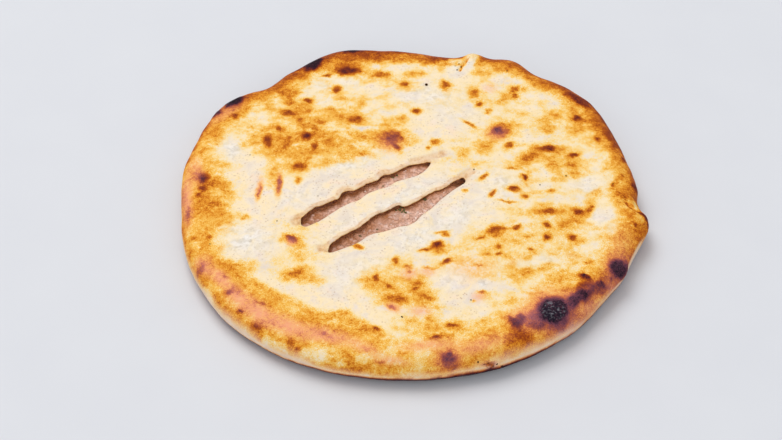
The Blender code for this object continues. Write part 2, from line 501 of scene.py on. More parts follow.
def make_dough():
    """The dough as one closed mesh. Returns its object and how many points its outer skin has."""
    skin = Skin()
    turns = np.linspace(0, 360, RIM_POINTS, endpoint=False)
    belly = rim_radius(turns)
    shoulder = belly - SHOULDER_INSET
    under = belly - UNDER_CURVE_INSET
    edge_height = top_height(ring(shoulder, turns, 0.0)[:, :2])

    def upper_rim(share):
        bend = pi / 2 * (1 - share)
        height = BELLY_HEIGHT + (edge_height - BELLY_HEIGHT) * sin(bend)
        return shoulder + SHOULDER_INSET * cos(bend), height

    def lower_rim(share):
        bend = pi / 2 * (1 - share)
        return under + UNDER_CURVE_INSET * sin(bend), BELLY_HEIGHT * (1 - cos(bend))

    # The top, from the lips' rounding out to the shoulder, the rim and the underside.
    shoulder_ring = skin.add(ring(shoulder, turns, edge_height))
    lip_tops = [top_height(slit.outline) + LIP_LIFT * slit.farness for slit in SLITS]
    top_lips = [
        skin.add(raised(slit.outline, lip_top - slit.drop)) for slit, lip_top in zip(SLITS, lip_tops)
    ]
    flat = [slit.moved(distance) for slit in SLITS for distance in LIP_ROWS]
    points = lattice_inside(TOP_SPACING, belly.max(), SHOULDER_INSET)
    distance, _ = nearest_lip(points)
    clear = distance > LIP_ROWS[-1] + CLEAR_OF_EDGE * TOP_SPACING
    flat = np.vstack(flat + [points[clear & ~in_slits(points)]])
    skin.sheet(shoulder_ring, top_lips, skin.add(raised(flat, skin_top(flat))), True)
    belly_ring = skin.rows_below(shoulder_ring, turns, UPPER_RIM_ROWS, upper_rim)
    base_ring = skin.rows_below(belly_ring, turns, LOWER_RIM_ROWS, lower_rim)
    flat = lattice_inside(UNDERSIDE_SPACING, belly.max(), UNDER_CURVE_INSET)
    skin.sheet(base_ring, [], skin.add(raised(flat)), False)
    outer_count = len(skin.points)

    # The slits' walls, down to the ceiling of the hollow that holds the meat.
    ceiling_lips = []
    for slit, lip, lip_top in zip(SLITS, top_lips, lip_tops):
        middle_height = lip_top - (slit.drop + slit.skin) / 2
        middle = skin.add(raised(slit.moved(-WALL_BULGE), middle_height))
        bottom = skin.add(raised(slit.moved(WALL_SLANT), lip_top - slit.skin))
        skin.band(lip, middle)
        skin.band(middle, bottom)
        ceiling_lips.append(bottom)
    turns = turns[::HOLLOW_THINNING]
    edge = rim_radius(turns) - RIM_WALL - FILLING_EDGE_INSET
    edge_ceiling = top_height(ring(edge, turns, 0.0)[:, :2]) - TOP_SKIN
    ceiling_ring = skin.add(ring(edge, turns, edge_ceiling))
    inside = lattice_inside(HOLLOW_SPACING, belly.max(), RIM_WALL + FILLING_EDGE_INSET)
    distance, _ = nearest_lip(inside)
    flat = inside[(distance > CEILING_LATTICE) & ~in_slits(inside)]
    rows = [slit.moved(CEILING_ROW)[::CEILING_ROW_THINNING] for slit in SLITS]
    flat = np.vstack([flat] + rows)
    skin.sheet(ceiling_ring, ceiling_lips, skin.add(raised(flat, ceiling_height(flat))), False)

    # The hollow's side and floor.
    side = filling_side(edge, edge_ceiling, FLOOR_SKIN)
    floor_ring = skin.rows_below(ceiling_ring, turns, HOLLOW_ROWS, side, inwards=True)
    skin.sheet(floor_ring, [], skin.add(raised(inside, FLOOR_SKIN)), True)
    return skin.build("dough"), outer_count


# Browning. Every mark is an ellipse on the photograph: middle x, middle y, half-width, half-height
# and how brown its middle is, from 0, pale, to 100, burnt black. A sixth number is its tilt in
# degrees, its right end up.

GOLDEN_ZONES = (
    # The far left, and single spots elsewhere.
    (289, 98, 6, 13, 44), (362, 58, 28, 5, 64), (406, 58, 16, 4, 50), (262, 132, 26, 5, 34, 38),
    (300, 120, 17, 5, 38, 5), (338, 117, 18, 8, 35, 5), (300, 111, 10, 5, 46), (366, 138, 12, 4, 38),
    (222, 188, 7, 7, 40), (201, 226, 6, 6, 40), (489, 320, 12, 5, 32, 12), (444, 337, 10, 4, 42),
    (584, 214, 10, 4, 44, 10), (573, 238, 8, 7, 42), (556, 151, 12, 6, 42), (326, 142, 14, 5, 44),
    (274, 157, 8, 5, 36), (272, 181, 8, 7, 32), (276, 119, 8, 5, 34), (300, 107, 8, 5, 44),
    (318, 111, 10, 4, 30), (280, 168, 12, 8, 35), (319, 165, 10, 4, 26), (344, 158, 10, 4, 33),
    (318, 135, 22, 5, 34), (284, 142, 13, 11, 42), (318, 148, 14, 8, 36), (348, 150, 12, 5, 38),
    (300, 155, 12, 8, 38, 20), (330, 161, 10, 4, 30), (368, 134, 11, 4, 40), (363, 153, 8, 3, 38, 10),
    # Along the left rim and round the pale blister beside it.
    (218, 129, 12, 6, 34, 40), (244, 108, 8, 5, 44, 25), (208, 190, 13, 22, 40), (214, 212, 15, 12, 42),
    (231, 198, 8, 6, 32), (227, 221, 8, 6, 35), (249, 265, 9, 5, 28), (233, 275, 12, 5, 43, -22),
    (243, 217, 8, 3, 36, -10), (206, 246, 8, 13, 40), (230, 267, 20, 5, 46, -12),
    (246, 290, 14, 6, 42, -38), (275, 307, 15, 6, 40, -30), (262, 287, 24, 5, 36, -30),
    (298, 252, 12, 6, 24), (297, 274, 13, 7, 42, 8), (298, 318, 26, 6, 41, -22),
    (340, 330, 24, 6, 42, -18), (366, 339, 16, 5, 42, -20), (312, 281, 12, 4, 30),
    # Along the near rim.
    (300, 307, 34, 6, 37, -22), (345, 318, 24, 5, 34, -14), (412, 321, 8, 6, 28),
    (440, 328, 26, 6, 36, 5), (486, 340, 12, 6, 44), (368, 330, 16, 5, 46, -18), (343, 312, 9, 4, 40),
    # The near middle.
    (392, 285, 26, 15, 30, -8), (374, 281, 12, 9, 36), (420, 296, 20, 10, 38, -15),
    (470, 262, 36, 12, 20), (500, 240, 34, 10, 24, 5),
    # The right half and the far middle.
    (520, 274, 14, 9, 38, 10), (545, 268, 14, 4, 32, 12), (560, 277, 14, 5, 34, 5),
    (566, 236, 16, 20, 24), (550, 212, 34, 5, 34), (592, 199, 10, 6, 38, 40), (556, 164, 9, 7, 38),
    (574, 166, 9, 8, 42), (531, 157, 14, 7, 44, 25), (553, 116, 9, 5, 40, 10), (548, 128, 9, 5, 36, 10),
    (580, 126, 16, 12, 36, -40), (483, 146, 8, 9, 37, 20), (466, 152, 7, 5, 32),
    (507, 68, 16, 6, 42, -8), (503, 97, 10, 5, 38), (442, 64, 4, 8, 42), (412, 74, 9, 3, 36, 10),
    (363, 103, 6, 4, 40), (403, 119, 5, 6, 36), (621, 188, 8, 20, 42), (575, 112, 12, 4, 46, -30),
    (545, 121, 10, 4, 32), (484, 73, 14, 4, 30), (572, 222, 10, 6, 42), (628, 220, 7, 9, 48),
    (531, 180, 9, 5, 22), (454, 89, 8, 5, 18), (486, 295, 9, 6, 24), (413, 140, 8, 5, 26),
    (440, 250, 10, 4, 36, 8), (486, 276, 12, 6, 24),
)

# Broad stretches where the top is freckled with yellow.
HAZE_ZONES = (
    (300, 128, 66, 34, 30), (366, 137, 46, 24, 21), (290, 95, 40, 22, 22, 20), (400, 88, 80, 26, 13),
    (515, 95, 50, 28, 13), (560, 165, 70, 50, 18), (545, 230, 66, 26, 18), (500, 255, 50, 22, 20),
    (470, 150, 40, 20, 16, 20), (400, 285, 42, 28, 21, -8), (298, 250, 36, 40, 15),
    (204, 205, 32, 50, 32), (440, 327, 60, 16, 22), (592, 262, 34, 26, 20), (545, 290, 56, 14, 22, 14),
)

BROWN_MARKS = (
    # Far left.
    (348, 70.5, 14, 5, 78), (327, 75, 5, 1.6, 66, 12), (380, 75, 11, 4, 50, 5), (337, 89, 4.5, 4, 66),
    (308, 101, 4, 2.2, 64, -15), (300, 121, 4, 3.5, 54), (289, 113, 9, 3, 60), (278, 128, 4, 3.5, 58),
    (268, 141, 5, 7, 66, 10), (289, 137, 4, 2.5, 56), (285, 145, 4, 5, 56), (306, 135, 6, 4, 74),
    (315, 146, 4, 5, 62), (300, 166, 8, 4, 64, 10), (356, 119, 8, 4, 62), (391, 138, 13, 8, 64),
    (396, 147, 5, 3, 70, -35), (234, 116, 6, 3, 58, 10), (279, 184, 3, 9, 62, -8),
    (259, 190, 2.2, 9, 56, -12), (298, 180, 3, 4, 42),
    # Far right.
    (404, 84, 4.5, 4, 60), (446, 85, 5, 3.5, 58, -15), (416, 111, 4.5, 2.5, 62),
    (436, 142, 6, 2.5, 50, 10), (429, 148, 2, 1.3, 56, 20), (474, 93, 5, 6, 50),
    (514, 89, 6, 3, 52, 20), (514, 96, 4, 2.6, 56), (480, 105, 4, 2.6, 50, 20),
    (488, 111, 4, 2.6, 46, 20), (470, 124, 8, 1.8, 50, -28), (502, 130, 12, 7, 54, 10),
    (497, 131, 6, 4, 80), (509, 145, 5, 2.6, 60), (577, 118, 5.5, 3.4, 74, -10), (597, 140, 4, 3, 66),
    (548, 148, 10, 3, 72), (530, 157, 8, 4.5, 54, 25), (574, 155, 5, 2.6, 74), (513, 168, 6, 1.8, 52),
    (484, 176, 5, 2.2, 54, 40), (525, 176, 3.5, 2.4, 72, -30), (513, 189, 6, 3.2, 68),
    (525, 196, 4, 2.4, 62, -10), (493, 194, 4, 2, 56, 45), (508, 201.5, 8, 1.1, 50, -4),
    (465, 190, 2.6, 1.8, 50), (549, 211, 9, 3.4, 60, -8), (579, 213, 6, 3.4, 70),
    (588, 210, 5, 2.4, 54, 30), (592, 206.5, 1.8, 1.2, 72, -30), (551, 190, 5, 1.8, 42, 10),
    (613, 185, 1.8, 2.4, 62, 30),
    # Right of the middle.
    (495, 230, 10, 3.6, 62, 14), (498, 234, 8, 2.4, 50, 10), (503, 227, 7, 2.6, 56, -5),
    (517, 227.5, 4.5, 2.6, 64, 15), (480, 238, 5, 1.8, 52, 15), (527, 237, 5, 1.6, 46, -5),
    (547, 226, 4, 2.6, 64, -20), (546, 238.5, 4.5, 2.4, 66), (572, 238.5, 5.5, 3, 68),
    (598, 237, 4, 1.8, 42, 20), (498, 247, 3.6, 1.6, 62), (497, 253.5, 4, 1.7, 60, 20),
    (531, 249, 4, 1.6, 56, -25), (437, 245, 7, 3.2, 72, 8), (426, 249, 6, 1.6, 58, 8),
    (447, 261, 6, 2.4, 66, 30), (442, 232, 7, 1.4, 46, 8), (445, 235, 4, 1.8, 48),
    # Near.
    (291, 238.5, 7, 3.6, 74, -5), (357, 246, 6, 2.4, 46, -20), (395, 261, 3.6, 4, 52),
    (376, 278, 4.5, 4, 60, 30), (389, 286, 4.5, 2.4, 58, -25), (409, 267, 6, 1.6, 48),
    (410, 271, 1.8, 1.4, 64), (430, 267, 6, 1.4, 46), (417, 283, 5, 2.8, 58),
    (415, 289, 5, 2.2, 62, 10), (396, 300, 13, 4.6, 54, -5), (391, 307, 6, 2, 60, -25),
    (427, 298, 7, 2.4, 54, -12), (295, 274.5, 9, 4.6, 57, 12), (482, 292, 5, 1.8, 56, 5),
    (473, 301.5, 2.2, 1.2, 56), (476, 265, 6, 1.4, 50), (452, 325, 9, 2.2, 58),
    (437, 337, 8, 2.6, 62, 12), (377, 329, 5, 2, 56, -20), (569, 289, 8, 3, 50, 10),
    (580, 297, 22, 9, 60, 35), (606, 281, 14, 8, 54, 45), (585, 285, 11, 5, 70, 15),
    (600, 290, 9, 5, 66, 30), (592, 300, 9, 5, 52, 35), (520, 337, 17, 10, 62),
    (560, 326, 14, 6, 60, 15), (532, 320, 20, 9, 58, 5), (448, 359, 15, 11, 42),
    # On the rim.
    (203, 177.5, 7.5, 6, 76), (240, 293, 9, 4, 52, -48), (609, 136, 13, 5, 64, -58),
    (347, 65, 14, 4, 58), (568, 93, 12, 4, 62, -33), (204, 188, 5, 3, 64), (188, 214, 3, 10, 56),
    (194, 239, 4, 3, 54), (210, 237, 3, 3, 56), (200, 270, 4, 9, 56, -20), (224, 276.5, 3, 1.4, 66),
    (229, 292, 5, 3, 66, 20), (240, 311.5, 3, 2.2, 74, -10), (257, 327, 6, 5, 66, 10),
    (262, 303, 9, 1.6, 56, -20), (290, 341, 6, 5, 56, -20), (298, 348.5, 5, 1.8, 66, 10),
    (325, 334, 9, 2.6, 50, -15), (346, 356, 6, 6, 46), (382, 363, 9, 1.4, 54, -15),
    (404, 353, 6, 1.6, 44), (478, 356, 3, 1.4, 66, 20), (489, 364.5, 9, 2.6, 64, 8),
    (635, 226.5, 1.8, 2.4, 74), (634, 231.5, 2.2, 1.8, 66), (619, 192, 1.8, 1.2, 62),
    (624, 176, 1.6, 1.2, 62), (614, 146, 4, 4, 66, -50), (623, 160, 4, 3, 74, -50),
)

BURNT_MARKS = (
    (553, 312, 18, 14.5, 100), (516, 323, 8, 5, 86, -30), (520, 319, 6, 5, 84, 40),
    (534, 319, 10, 4.5, 66, 8), (537, 326, 8, 4, 78, -10), (574, 301, 12, 5.5, 88, 35),
    (582, 296, 7, 6, 92, -35), (591, 290, 12, 4.5, 84, 45), (600, 284.5, 5, 4, 88),
    (585, 277, 7, 3, 84, -15), (609, 281, 2.6, 3, 78), (617, 268.5, 9.5, 11, 96),
    (448, 358.5, 9, 7, 82), (452, 366, 8, 4, 66, 10), (233, 101, 12, 5, 94, 22),
    (313, 63, 12, 6, 94, 30), (352, 50.5, 14, 3, 94), (216, 113, 10, 2.4, 84, 45),
    (581, 101, 14, 2.6, 80, -33), (636, 190, 2.2, 12, 78, 22), (641, 214.5, 4, 1.5, 84, -28),
    (645.6, 219.5, 4, 1.5, 84, -58), (647.4, 226, 1.4, 4, 74), (457.5, 63.5, 3, 1.4, 80, -10),
    (458, 68.5, 2.4, 1.2, 78, -30),
)
# How many of them, from the first, are swollen and rough.
SWOLLEN_BURNTS = 12

# Reddish stretches, in the same form, the last number saying how red. The band along the lower-left and
# near rim paints a highlight on the crest, the stretches over the burnt spots paint a purple sheen, and
# the rest are reddish browning.
PINK_AND_SHEEN_MARKS = (
    (204, 266, 8, 8, 90, -40), (220, 278, 12, 6, 100, -45), (238, 297, 15, 8, 100, -48),
    (258, 312, 16, 9, 100, -38), (286, 325, 24, 8, 100, -22), (325, 335, 26, 7, 90, -12),
    (365, 349, 18, 5, 70, -25), (392, 361, 16, 4, 60, -5), (430, 345, 26, 5, 70, 5),
    (480, 345, 26, 7, 60, 15), (187, 200, 5, 24, 90), (196, 172, 7, 12, 70), (226, 112, 18, 5, 50, 32),
    (259, 188, 3, 11, 80, -12), (279, 184, 3, 10, 80, -8), (390, 143, 12, 9, 50), (497, 133, 9, 6, 70),
    (291, 241, 5, 4, 90), (410, 273, 8, 5, 70), (393, 308, 8, 4, 80, -20), (420, 311, 10, 5, 70),
    (428, 271, 8, 4, 60), (478, 297, 6, 5, 70), (470, 270, 22, 12, 30), (566, 325, 16, 6, 50, 25),
    (490, 88, 7, 4, 40), (620, 250, 12, 20, 30), (552, 312, 23, 19, 100), (528, 318, 18, 9, 100),
    (572, 301, 14, 8, 80, 25), (592, 290, 14, 8, 50, 35), (590, 308, 14, 7, 80, 42),
    (610, 287, 9, 7, 80, 50), (617, 268, 12, 13, 80), (448, 359, 13, 10, 70),
)

# Stretches that stayed pale, in the same form, the last number saying how much browning is gone.
PALE_MARKS = (
    (469, 66, 4, 9, 90, -25), (471, 58, 9, 5, 70), (460, 312, 14, 5, 50, 5), (238, 212, 7, 8, 50),
    (512, 221, 14, 5, 50, 10), (338, 358, 9, 4, 35, -12), (386, 62, 6, 3, 40), (536, 240, 7, 4, 50),
    (592, 237, 8, 5, 50), (416, 280, 6, 4, 30), (430, 94, 16, 6, 40), (363, 359, 8, 6, 50),
    (268, 341, 7, 5, 60, -30), (314, 355, 16, 7, 60, -18), (340, 364, 12, 3, 50, -10),
    (280, 346, 9, 5, 50, -25), (427, 368, 12, 3, 40), (208, 296, 10, 5, 50, -58), (421, 353, 14, 5, 40),
    (395, 362, 9, 4, 35), (522, 265, 8, 5, 50), (536, 289, 12, 4, 40, 10), (612, 229, 7, 6, 50),
    (611, 176, 5, 8, 50), (495, 96, 7, 4, 60), (403, 285, 7, 8, 35), (245, 124, 7, 6, 50),
    (458, 70, 8, 6, 90), (455, 61, 8, 4, 60), (232, 148, 9, 11, 60), (590, 184, 9, 8, 70),
    (600, 215, 8, 9, 70), (486, 284, 8, 7, 70), (452, 300, 16, 5, 60, 10), (478, 312, 20, 5, 40, 12),
    (637, 203, 3, 6, 60, -10),
)

# Floury, bluish-white stretches, in the same form.
FLOUR_MARKS = (
    (245, 240, 26, 15, 90), (232, 150, 12, 10, 80), (350, 165, 26, 8, 70, 15), (300, 195, 24, 12, 50),
    (345, 225, 36, 5, 50, 30), (400, 200, 40, 6, 80, 30), (420, 235, 30, 12, 80, 20),
    (460, 215, 26, 12, 70, 30), (330, 85, 18, 7, 70, 10), (430, 95, 30, 12, 60), (450, 115, 30, 8, 40),
    (505, 185, 24, 14, 60), (590, 185, 20, 12, 50), (360, 262, 26, 10, 50), (340, 280, 22, 10, 50),
    (452, 280, 14, 12, 60), (482, 284, 7, 5, 80), (600, 222, 16, 14, 40), (540, 260, 40, 6, 50, 5),
    (452, 66, 8, 8, 70), (471, 60, 8, 6, 60),
)

# The rim by turn: the turn, how brown its outer side is, 0 to 100, how far in from the belly that
# reaches and the height up to which the side stayed raw, both in millimetres.
RIM_BROWNING = (
    (5, 44, 23, 4.5), (25, 54, 20, 6), (45, 60, 23, 5), (60, 58, 21, 5), (75, 60, 22, 5),
    (90, 66, 22, 5), (105, 70, 23, 5), (120, 64, 23, 5), (135, 58, 22, 5), (150, 44, 26, 5),
    (165, 38, 25, 6), (180, 33, 26, 6.5), (195, 31, 27, 7), (210, 35, 27, 9), (230, 35, 28, 8.5),
    (242, 33, 28, 8.5), (253, 31, 28, 5.5), (270, 27, 29, 5.5), (282, 30, 30, 7), (292, 34, 30, 9),
    (310, 38, 30, 8.5), (318, 31, 29, 6.5), (330, 31, 28, 5.5), (350, 40, 25, 4.3),
)
# The columns of that table.
TURN, PERCENT, REACH_IN, RAW_HEIGHT = range(4)

# Lines on the photograph: the shallow grooves that run on past the slits' ends, the crease of the
# fold on the right, the top edge of the flat raw side below it, and the tear in the far rim.
END_GROOVES = (
    ((414, 162), (428, 158.5), (440, 155), (450, 152)),
    ((463, 177), (469, 173), (475, 169)),
    ((302, 218), (296, 222), (290, 224)),
    ((330, 247), (323, 248.5), (316, 249)),
)
END_GROOVE_DEPTH = 0.8 * MM
END_GROOVE_WIDTHS = (3.0 * MM, 1.9 * MM)
FOLD_CREASE = ((624.5, 196), (625.5, 202), (629.5, 206), (633.5, 210.5), (639, 213))
FOLD_DEPTH = 1.6 * MM
FOLD_WIDTH = 0.9 * MM
# Painted shade: the fold's crease is darkened to this browning.
FOLD_CREASE_SHADE = 0.66
RAW_EDGE = (
    (645, 230.5), (638, 240), (631, 252.5), (626, 265.5), (622, 276), (610, 289.5), (599, 300.5),
)
RAW_EDGE_RISE = 0.9 * MM
RAW_EDGE_WIDTH = 1.8 * MM
# How the raw side below that edge fades out: past these distances from the edge, over these
# shares of the edge at its two ends, and over these depths below it.
RAW_SIDE_REACH = (14 * MM, 8 * MM)
RAW_SIDE_START = (0.0, 0.28)
RAW_SIDE_END = (1.0, 0.7)
RAW_SIDE_DEPTHS = (0.2 * MM, 2.0 * MM)
RAW_SIDE_PALENESS = 0.75
# How far the patches move its lower edge, and its start, by shares of the edge.
RAW_SIDE_WANDER = 2 * MM
RAW_SIDE_START_WANDER = 0.06
TEAR = ((460, 70), (463, 65), (466.5, 60))
TEAR_DEPTH = 1.6 * MM
TEAR_WIDTH = 0.8 * MM
# Painted shade: the tear's line is darkened to this browning.
TEAR_SHADE = 0.5
TEAR_FLAP = (472, 57)
TEAR_FLAP_RISE = 2.2 * MM
TEAR_FLAP_SIZE = 5.0 * MM
TEAR_CRUMPLE = (457, 66)
TEAR_CRUMPLE_DEPTH = 0.7 * MM
TEAR_CRUMPLE_SIZE = 5.0 * MM
TEAR_CRUMPLE_GRAIN = 2.4 * MM

# Single swellings of the skin: where on the photograph, how wide and how high. They are the lobe
# of the fold, the step beyond the fold's crease and the pale blister on the left.
SWELLINGS = (
    (640, 222, 9.0 * MM, 1.4 * MM),
    (643, 205, 4.5 * MM, -2.4 * MM),
    (240, 243, 15.0 * MM, 1.2 * MM),
)

# Ripples that are added up, each with its length, its height and its seed. The first two are the
# relief of the top and of the rim, and the others say where the browning is patchy or freckled,
# how the raw line wanders, and where the underside is browned and hollow.
TOP_WAVES = ((32 * MM, 0.45 * MM, 40), (12 * MM, 0.28 * MM, 41), (5 * MM, 0.10 * MM, 42))
RIM_WAVES = ((20 * MM, 0.55 * MM, 50), (8 * MM, 0.22 * MM, 51))
PATCHES = ((15 * MM, 1.0, 31), (6 * MM, 0.5, 32))
FRECKLES = ((6 * MM, 1.0, 37), (2.8 * MM, 0.6, 38))
RAW_LINE_WAVES = ((16 * MM, 2.2 * MM, 34), (5 * MM, 1.2 * MM, 39))
UNDERSIDE_PATCHES = ((22 * MM, 0.22, 35), (7 * MM, 0.16, 36))
UNDERSIDE_WAVES = ((16 * MM, 1.0, 61), (5 * MM, 0.3, 62))

# Where the top and the rim begin and end, by height or by distance in from the belly.
TOP_HEIGHTS = (13 * MM, 17 * MM)
RIM_HEIGHTS = (0.0, 4 * MM)
RIM_INSETS = (20 * MM, 9 * MM)
# Blisters rise where the crust is browned from the first of these to the second.
BLISTER_BROWNING = (0.45, 0.8)
BLISTER_RISE = 0.35 * MM
CHAR_RISE = 0.9 * MM
CHAR_ROUGHNESS = 0.35 * MM
CHAR_GRAIN = 2.4 * MM
UNDERSIDE_HOLLOWS = 0.5 * MM
UNDERSIDE_BROWNING = 0.24
UNDERSIDE_LEAST_BROWNING = 0.05
# The underside is browned up to the first of these heights and hollow up to the second.
UNDERSIDE_HEIGHT = 0.5 * MM
FLAT_HEIGHT = 0.01 * MM
UNDERSIDE_INSETS = (9 * MM, 16 * MM)

# The side turns from raw to browned over these heights from the raw line, but not wholly.
RAW_FADE = (-3.0 * MM, 6.0 * MM)
RAW_BROWNING = 0.12
# Freckles of browning are this much longer from left to right than the other way.
STREAK = 1.5
# The outermost edge of the rim and the edge of the underside are browner than what is beside them. The
# underside's edge is partly a painted contact shadow, a dark band along the bottom of the side.
EDGE_EXTRA = 0.34
EDGE_INSETS = (5 * MM, 0.8 * MM)
BASE_EDGE_HEIGHT = 3.3 * MM
BASE_EDGE_BROWNING_AND_SHADOW = 0.74
BASE_EDGE_FADE = (1.8 * MM, -0.4 * MM)
# The base edge is darker and reaches higher round this turn, over this many degrees, by this much: partly
# burnt, mostly a painted contact shadow along the bottom of the near right side.
BURNT_AND_SHADOWED_EDGE_TURN = 292
BURNT_AND_SHADOWED_EDGE_SPREAD = 45
BURNT_AND_SHADOWED_EDGE_RISE = 3.0 * MM
BURNT_AND_SHADOWED_EDGE_EXTRA = 0.20
# How far its top wanders, with the patches and with ripples of its own.
BASE_EDGE_PATCHINESS = 0.4 * MM
BASE_EDGE_WAVES = ((3.5 * MM, 0.7 * MM, 64),)

# Flour and raw dough don't show where the crust is browner than the first number, and show in
# full where it is paler than the second.
FLOUR_BROWNING = (0.30, 0.05)
RAW_SIDE_BROWNING = (0.7, 0.5)
# The rim's browning fades out over these shares of its reach. The patches change its reach and
# its strength by so much.
RIM_FADE = (0.25, 1.0)
RIM_REACH_PATCHINESS = 6 * MM
RIM_PATCHINESS = 0.12
# How strong the haze is between its freckles and paler spots, and by how much those change it.
HAZE_STRENGTH = 0.9
HAZE_FRECKLING = 1.1
# What is browner than the first of these is patchy and freckled, and in full from the second on.
MOTTLED_BROWNING = (0.12, 0.3)
PATCHINESS = 0.05
FRECKLING = 0.08

# How marks fade out, in shares of their size, and how far their edges wander, in pixels.
HALO_FADE = (0.3, 2.3)
HALO_SHARE = 0.60
MARK_STRENGTH = 1.06
MARK_FADE = (0.25, 1.3)
CHAR_FADE = (0.55, 1.3)
ZONE_FADE = (0.0, 1.8)
MARK_WANDER = ((9 * MM, 1.5), (3.6 * MM, 1.5), (2.0 * MM, 1.0))
# How squarely a point faces the photograph's camera, from -1 to 1: the least that counts as shown,
# from where on the photograph's own ellipses hold, and the least that a mark reaches.
LEAST_SHOWN = 0.05
WELL_SHOWN = 0.4
LEAST_MARKED = -0.7
# How large the round mark past the shown part is, against the ellipse that it carries on.
ROUND_SIZE = 1.2


def distance_to_line(points, line):
    """How far points are from a line of straight pieces, and how far along it they are, 0 to 1."""
    line = np.array(line, float)
    lengths = np.linalg.norm(np.diff(line, axis=0), axis=1)
    runs = np.concatenate(([0], np.cumsum(lengths))) / lengths.sum()
    best = np.full(len(points), np.inf)
    share = np.zeros(len(points))
    for start, end, run, next_run in zip(line, line[1:], runs, runs[1:]):
        along = end - start
        part = np.clip((points - start) @ along / (along @ along), 0, 1)
        distance = np.linalg.norm(points - start - part[:, None] * along, axis=1)
        closer = distance < best
        best[closer] = distance[closer]
        share[closer] = (run + part * (next_run - run))[closer]
    return best, share


class Canvas:
    """The dough's outer skin, with where the photograph shows each of its points."""

    def __init__(self, points, normals):
        self.points = points
        self.across, self.down, away = in_photo(points)
        self.pixel = away / PIXELS_PER_SLOPE
        ray = CAMERA_PLACE - points
        self.facing = (normals * ray).sum(1) / np.linalg.norm(ray, axis=1)
        self.wander = np.zeros((2, len(points)))
        for number, (size, pixels) in enumerate(MARK_WANDER):
            for axis in (0, 1):
                self.wander[axis] += pixels * ripple(points, size, SEED + 10 * number + axis)
        self.turns, reach = polar(points)
        self.inset = rim_radius(self.turns) - reach
        self.height = points[:, 2]
        self.patchy = waves(points, PATCHES)

    def pick(self, x, y):
        """The index of the point that shows at a pixel."""
        gap = np.hypot(self.across - x, self.down - y)
        return np.where(self.facing > LEAST_SHOWN, gap, np.inf).argmin()

    def far_from(self, x, y):
        """How far each point is from the one that shows at a pixel."""
        return np.linalg.norm(self.points - self.points[self.pick(x, y)], axis=1)

    def line(self, pixels):
        return self.points[[self.pick(x, y) for x, y in pixels]]

    def paint(self, marks, fade, field=0.0, strength=1.0):
        """The field raised, inside each mark, to that mark's browning times strength.

        Where the skin turns away from the photograph's camera, the mark goes on as a round one.
        """
        for x, y, half_width, half_height, percent, *tilt in marks:
            lean = radians(sum(tilt))
            right = self.across + self.wander[0] - x
            up = y - self.down - self.wander[1]
            along = (right * cos(lean) + up * sin(lean)) / half_width
            over = (up * cos(lean) - right * sin(lean)) / half_height
            size = ROUND_SIZE * sqrt(half_width * half_height) * self.pixel[self.pick(x, y)]
            far = self.far_from(x, y) / size
            shown = smoothstep(LEAST_SHOWN, WELL_SHOWN, self.facing)
            spread = far + (np.hypot(along, over) - far) * shown
            share = (1 - smoothstep(*fade, spread)) * (self.facing > LEAST_MARKED)
            field = field + np.maximum(strength * percent / 100 - field, 0) * share
        return field

    def at_turns(self, column):
        """A column of RIM_BROWNING at the points' turns."""
        table = np.array(RIM_BROWNING)
        return np.interp(self.turns, table[:, TURN], table[:, column], period=360)


def raw_sides(canvas):
    """How raw each point of the side is: along the whole rim, and below the edge at the fold."""
    points, patchy = canvas.points, canvas.patchy
    above_line = canvas.height - canvas.at_turns(RAW_HEIGHT) * MM - waves(points, RAW_LINE_WAVES)
    edge = canvas.line(RAW_EDGE)
    distance, share = distance_to_line(points, edge)
    edge_height = np.interp(share, np.linspace(0, 1, len(edge)), edge[:, 2])
    side = smoothstep(*RAW_SIDE_REACH, distance + RAW_SIDE_WANDER * patchy)
    start = smoothstep(*RAW_SIDE_START, share + RAW_SIDE_START_WANDER * patchy)
    side *= start * smoothstep(*RAW_SIDE_END, share)
    side *= smoothstep(*RAW_SIDE_DEPTHS, edge_height - canvas.height)
    return 1 - smoothstep(*RAW_FADE, above_line), RAW_SIDE_PALENESS * side


